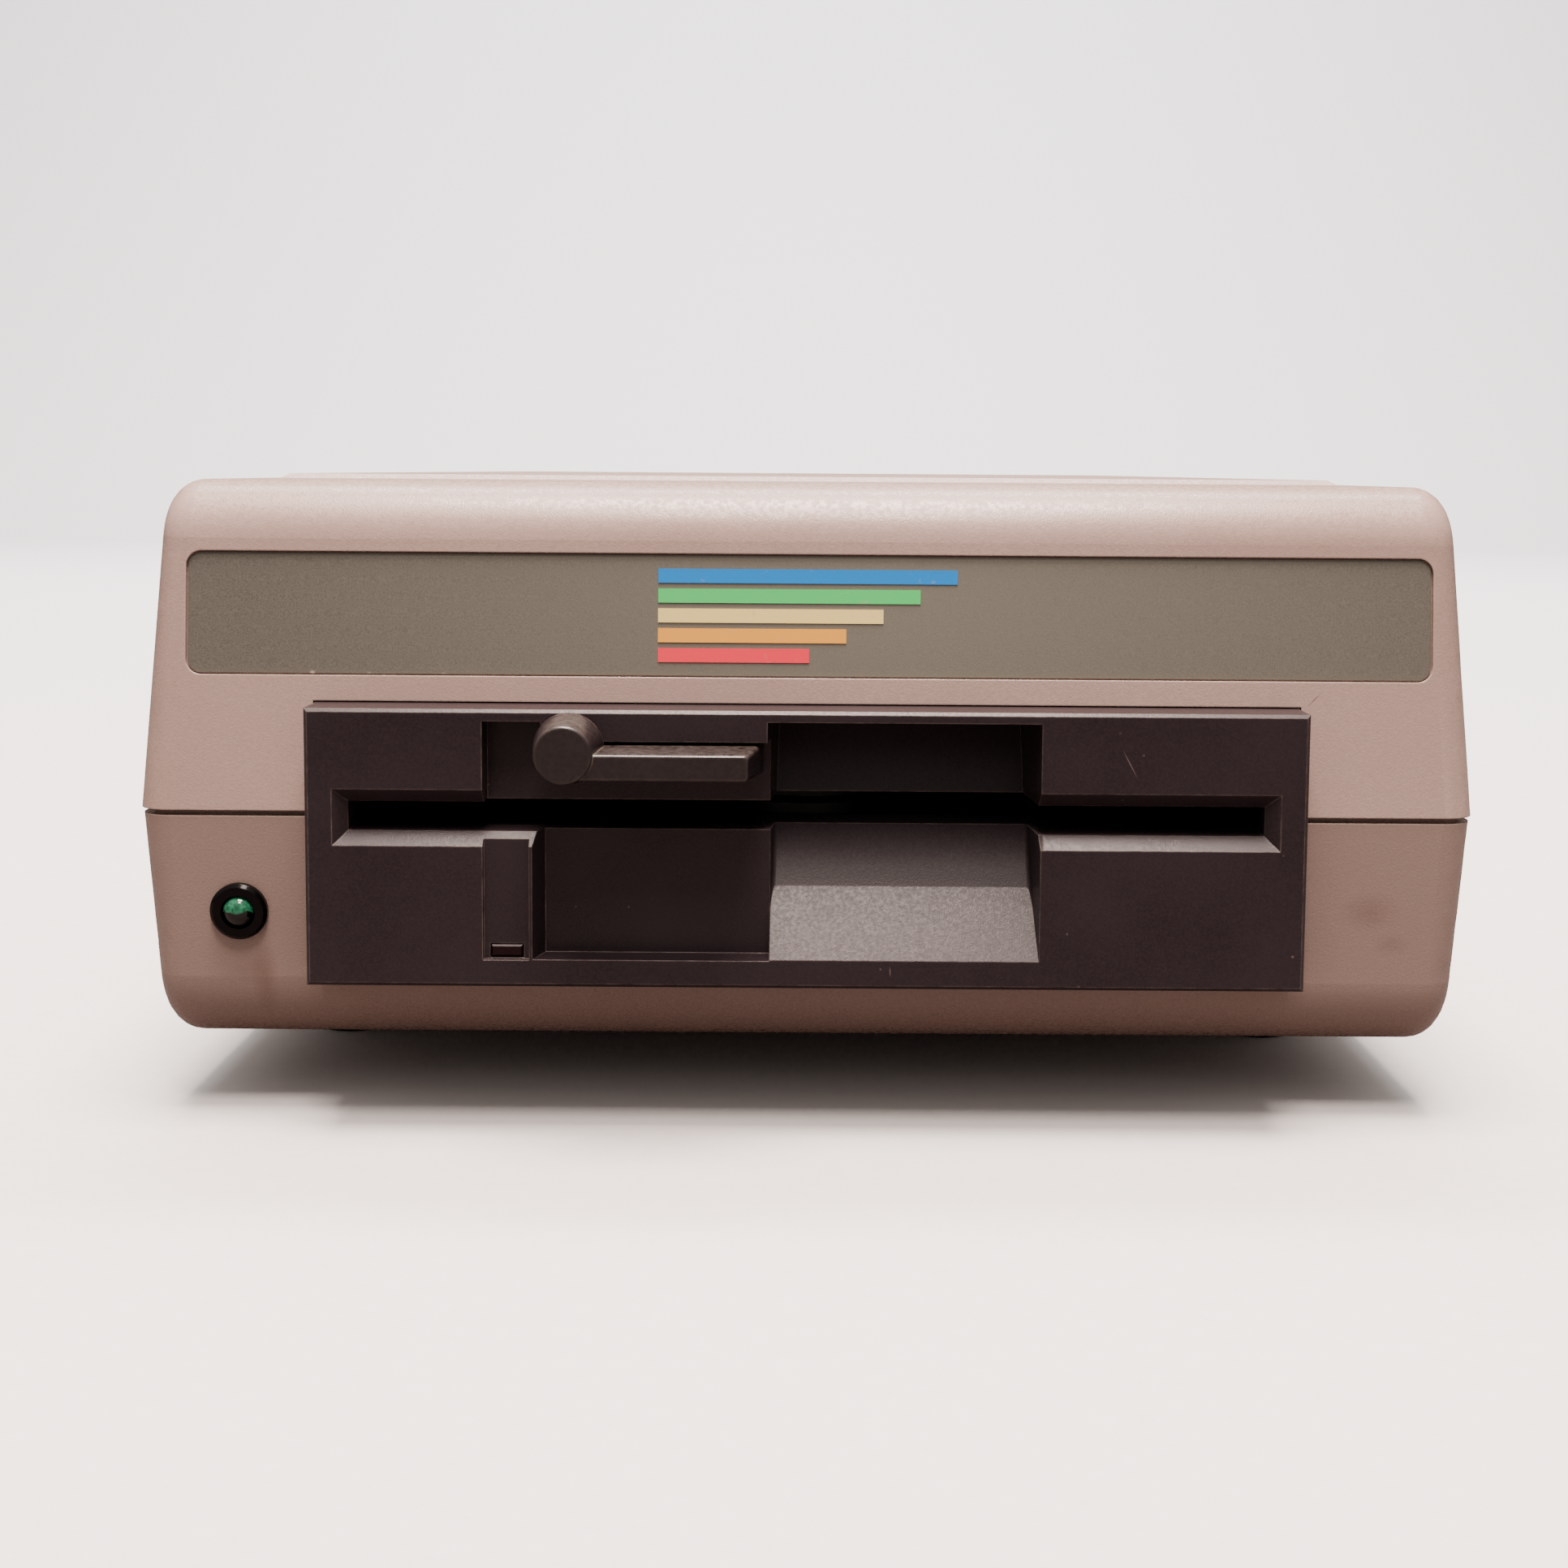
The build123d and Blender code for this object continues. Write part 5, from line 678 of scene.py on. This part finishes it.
# ---------------------------------------------------------------- chip legs
# Each chip has two rows of tinned legs at the usual pitch. A leg leaves the body at mid height,
# bends down and is soldered to the board.
LEG_PITCH, LEG_HALF = 2.54 * MM, 0.3 * MM           # from leg to leg, and half a leg's width
LEG_OUT, LEG_T = 0.9 * MM, 0.25 * MM                # how far a leg stands out, and its thickness
BEND_IN, BEND_UP = 0.6 * LEG_T, 0.4 * LEG_T         # the bend's bevel
tinned, tree, shader, place = new_material("tinned_chip_legs", Metallic=1.0)
feed(tree, shader, Base_Color=blend_colour(tree, noise(tree, place, 0.6), "A3A3A0", "C6C5C0"),
     Roughness=spread(tree, noise(tree, place, 0.9), 0, 1, 0.28, 0.45))
places = []
for points in solids("chips"):
    low, high = extent(points)
    centre = (low + high) / 2
    count = int((high.x - low.x) / LEG_PITCH)
    drop = centre.z - low.z
    for i in range(count):
        x = centre.x + (i - (count - 1) / 2) * LEG_PITCH
        places += [(Vector((x, high.y, centre.z)), (pi / 2, 0, pi / 2)),
                   (Vector((x, low.y, centre.z)), (pi / 2, 0, -pi / 2))]
bent = ((-LEG_T, 0.0), (LEG_OUT - LEG_T, 0.0), (LEG_OUT - LEG_T, -drop), (LEG_OUT, -drop),
        (LEG_OUT, BEND_UP), (LEG_OUT - BEND_IN, LEG_T), (-LEG_T, LEG_T))
legs = scatter("chip_legs", prism("chip_leg", bent, (-LEG_HALF, LEG_HALF), (1, 1)), places, tinned)
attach(legs, "case")

# ---------------------------------------------------------------- studio sweep
# A sheet of pale paper that is floor and backdrop in one, with a rounded bend at the back. Only
# the camera sees it pale: to the drive it is dark, so the drive's lower half stays in shade.
SWEEP_HALF, SWEEP_FRONT, SWEEP_BACK, SWEEP_R, SWEEP_TOP = 4.0, -3.0, 2.2, 1.2, 4.0     # metres
SWEEP_STEPS = 12
profile = [(SWEEP_FRONT, 0.0)]
for step in range(SWEEP_STEPS + 1):
    angle = pi / 2 * step / SWEEP_STEPS
    profile.append((SWEEP_BACK + SWEEP_R * sin(angle), SWEEP_R * (1 - cos(angle))))
profile.append((SWEEP_BACK + SWEEP_R, SWEEP_TOP))
points = [(side * SWEEP_HALF, y, z) for y, z in profile for side in (-1, 1)]
faces = [(2 * i, 2 * i + 1, 2 * i + 3, 2 * i + 2) for i in range(len(profile) - 1)]
sweep_mesh = bpy.data.meshes.new("studio_sweep")
sweep_mesh.from_pydata(points, [], faces)
sweep_mesh.polygons.foreach_set("use_smooth", [True] * len(sweep_mesh.polygons))
sweep = bpy.data.objects.new("studio_sweep", sweep_mesh)
bpy.context.collection.objects.link(sweep)
paper, tree, shader, place = new_material("pale_studio_paper", Roughness=0.9,
                                          Specular_IOR_Level=0.1)
seen = add_node(tree, "ShaderNodeLightPath").outputs["Is Camera Ray"]
pale = blend_colour(tree, noise(tree, place, 3), "F6F5F4", "FAF9F8")
feed(tree, shader, Base_Color=blend_colour(tree, seen, "635A58", pale))
sweep_mesh.materials.append(paper)

# ---------------------------------------------------------------- lights
# A small key above the front makes the highlights on the cover's rounding and in the notch, a
# large soft light hangs overhead, and a third washes the backdrop.
ON_DRIVE, ON_BACKDROP = (0, -0.15, 0.05), (0, 3.2, 0.6)      # what the lights face, in metres
WARM, WHITE = "FFE9DE", "FFFFFF"


def soft_light(name, where, aim, size, watts, colour):
    """A square area light that faces a point."""
    lamp = bpy.data.lights.new(name, "AREA")
    lamp.shape, lamp.size, lamp.energy = "SQUARE", size, watts
    lamp.color = hex_colour(colour)[:3]
    holder = bpy.data.objects.new(name, lamp)
    holder.location = where
    holder.rotation_euler = (Vector(aim) - Vector(where)).to_track_quat("-Z", "Y").to_euler()
    bpy.context.collection.objects.link(holder)


soft_light("key_above_front", (0.0, -0.80, 1.2), ON_DRIVE, 0.3, 13, WARM)
soft_light("overhead", (0.0, -0.33, 1.5), ON_DRIVE, 0.6, 61, WARM)
soft_light("backdrop_wash", (0.0, 1.0, 2.4), ON_BACKDROP, 1.6, 240, WHITE)

# The air above is bright and fades to dim at the horizon; the camera sees it pale all round.
HIGH_UP = 0.9                               # share of the way up where it is brightest
DIM, BRIGHT, SEEN = 0.06, 1.0, 0.9          # strength at the horizon, high up and for the camera
world =bpy.data.worlds.new("studio_air")
world.use_nodes = True
air = world.node_tree
up = coordinate(air, add_node(air, "ShaderNodeTexCoord").outputs["Generated"], "Z")
glow = spread(air, up, 0.0, HIGH_UP, DIM, BRIGHT)
seen = scaled(air, add_node(air, "ShaderNodeLightPath").outputs["Is Camera Ray"], SEEN)
background = air.nodes["Background"]
background.inputs["Color"].default_value = hex_colour("FFF2EA")
feed(air, background, Strength=maths(air, "MAXIMUM", glow, seen))
bpy.context.scene.world = world

# ---------------------------------------------------------------- camera
# It stands close in front, a little above the drive, and looks down by five degrees. Its lens is
# shifted, so that the drive sits where it should in a square picture.
PICTURE = 1932                              # pixels on a side
FOCAL_PX = 2541                             # focal length in pixels
AXIS_U, AXIS_V = 995, 800.3                 # where the lens's axis meets the picture, from its top left
CAMERA_FRONT, CAMERA_UP = 296.32, 51.51     # millimetres before the bezel and above the seam
LOOK_DOWN, ROLL = 5.0, 0.41                 # degrees
lens = bpy.data.cameras.new("camera")
lens.sensor_width = 36.0
lens.lens = lens.sensor_width * FOCAL_PX / PICTURE
lens.shift_x = (PICTURE / 2 - AXIS_U) / PICTURE
lens.shift_y = (AXIS_V - PICTURE / 2) / PICTURE
lens.clip_start = 0.01
camera = bpy.data.objects.new("camera", lens)
camera.location = at(0, -CAMERA_FRONT, CAMERA_UP)
camera.rotation_euler = (Euler((radians(90 - LOOK_DOWN), 0, 0)).to_matrix()
                         @ Euler((0, 0, radians(ROLL))).to_matrix()).to_euler()
bpy.context.collection.objects.link(camera)
bpy.context.scene.camera = camera
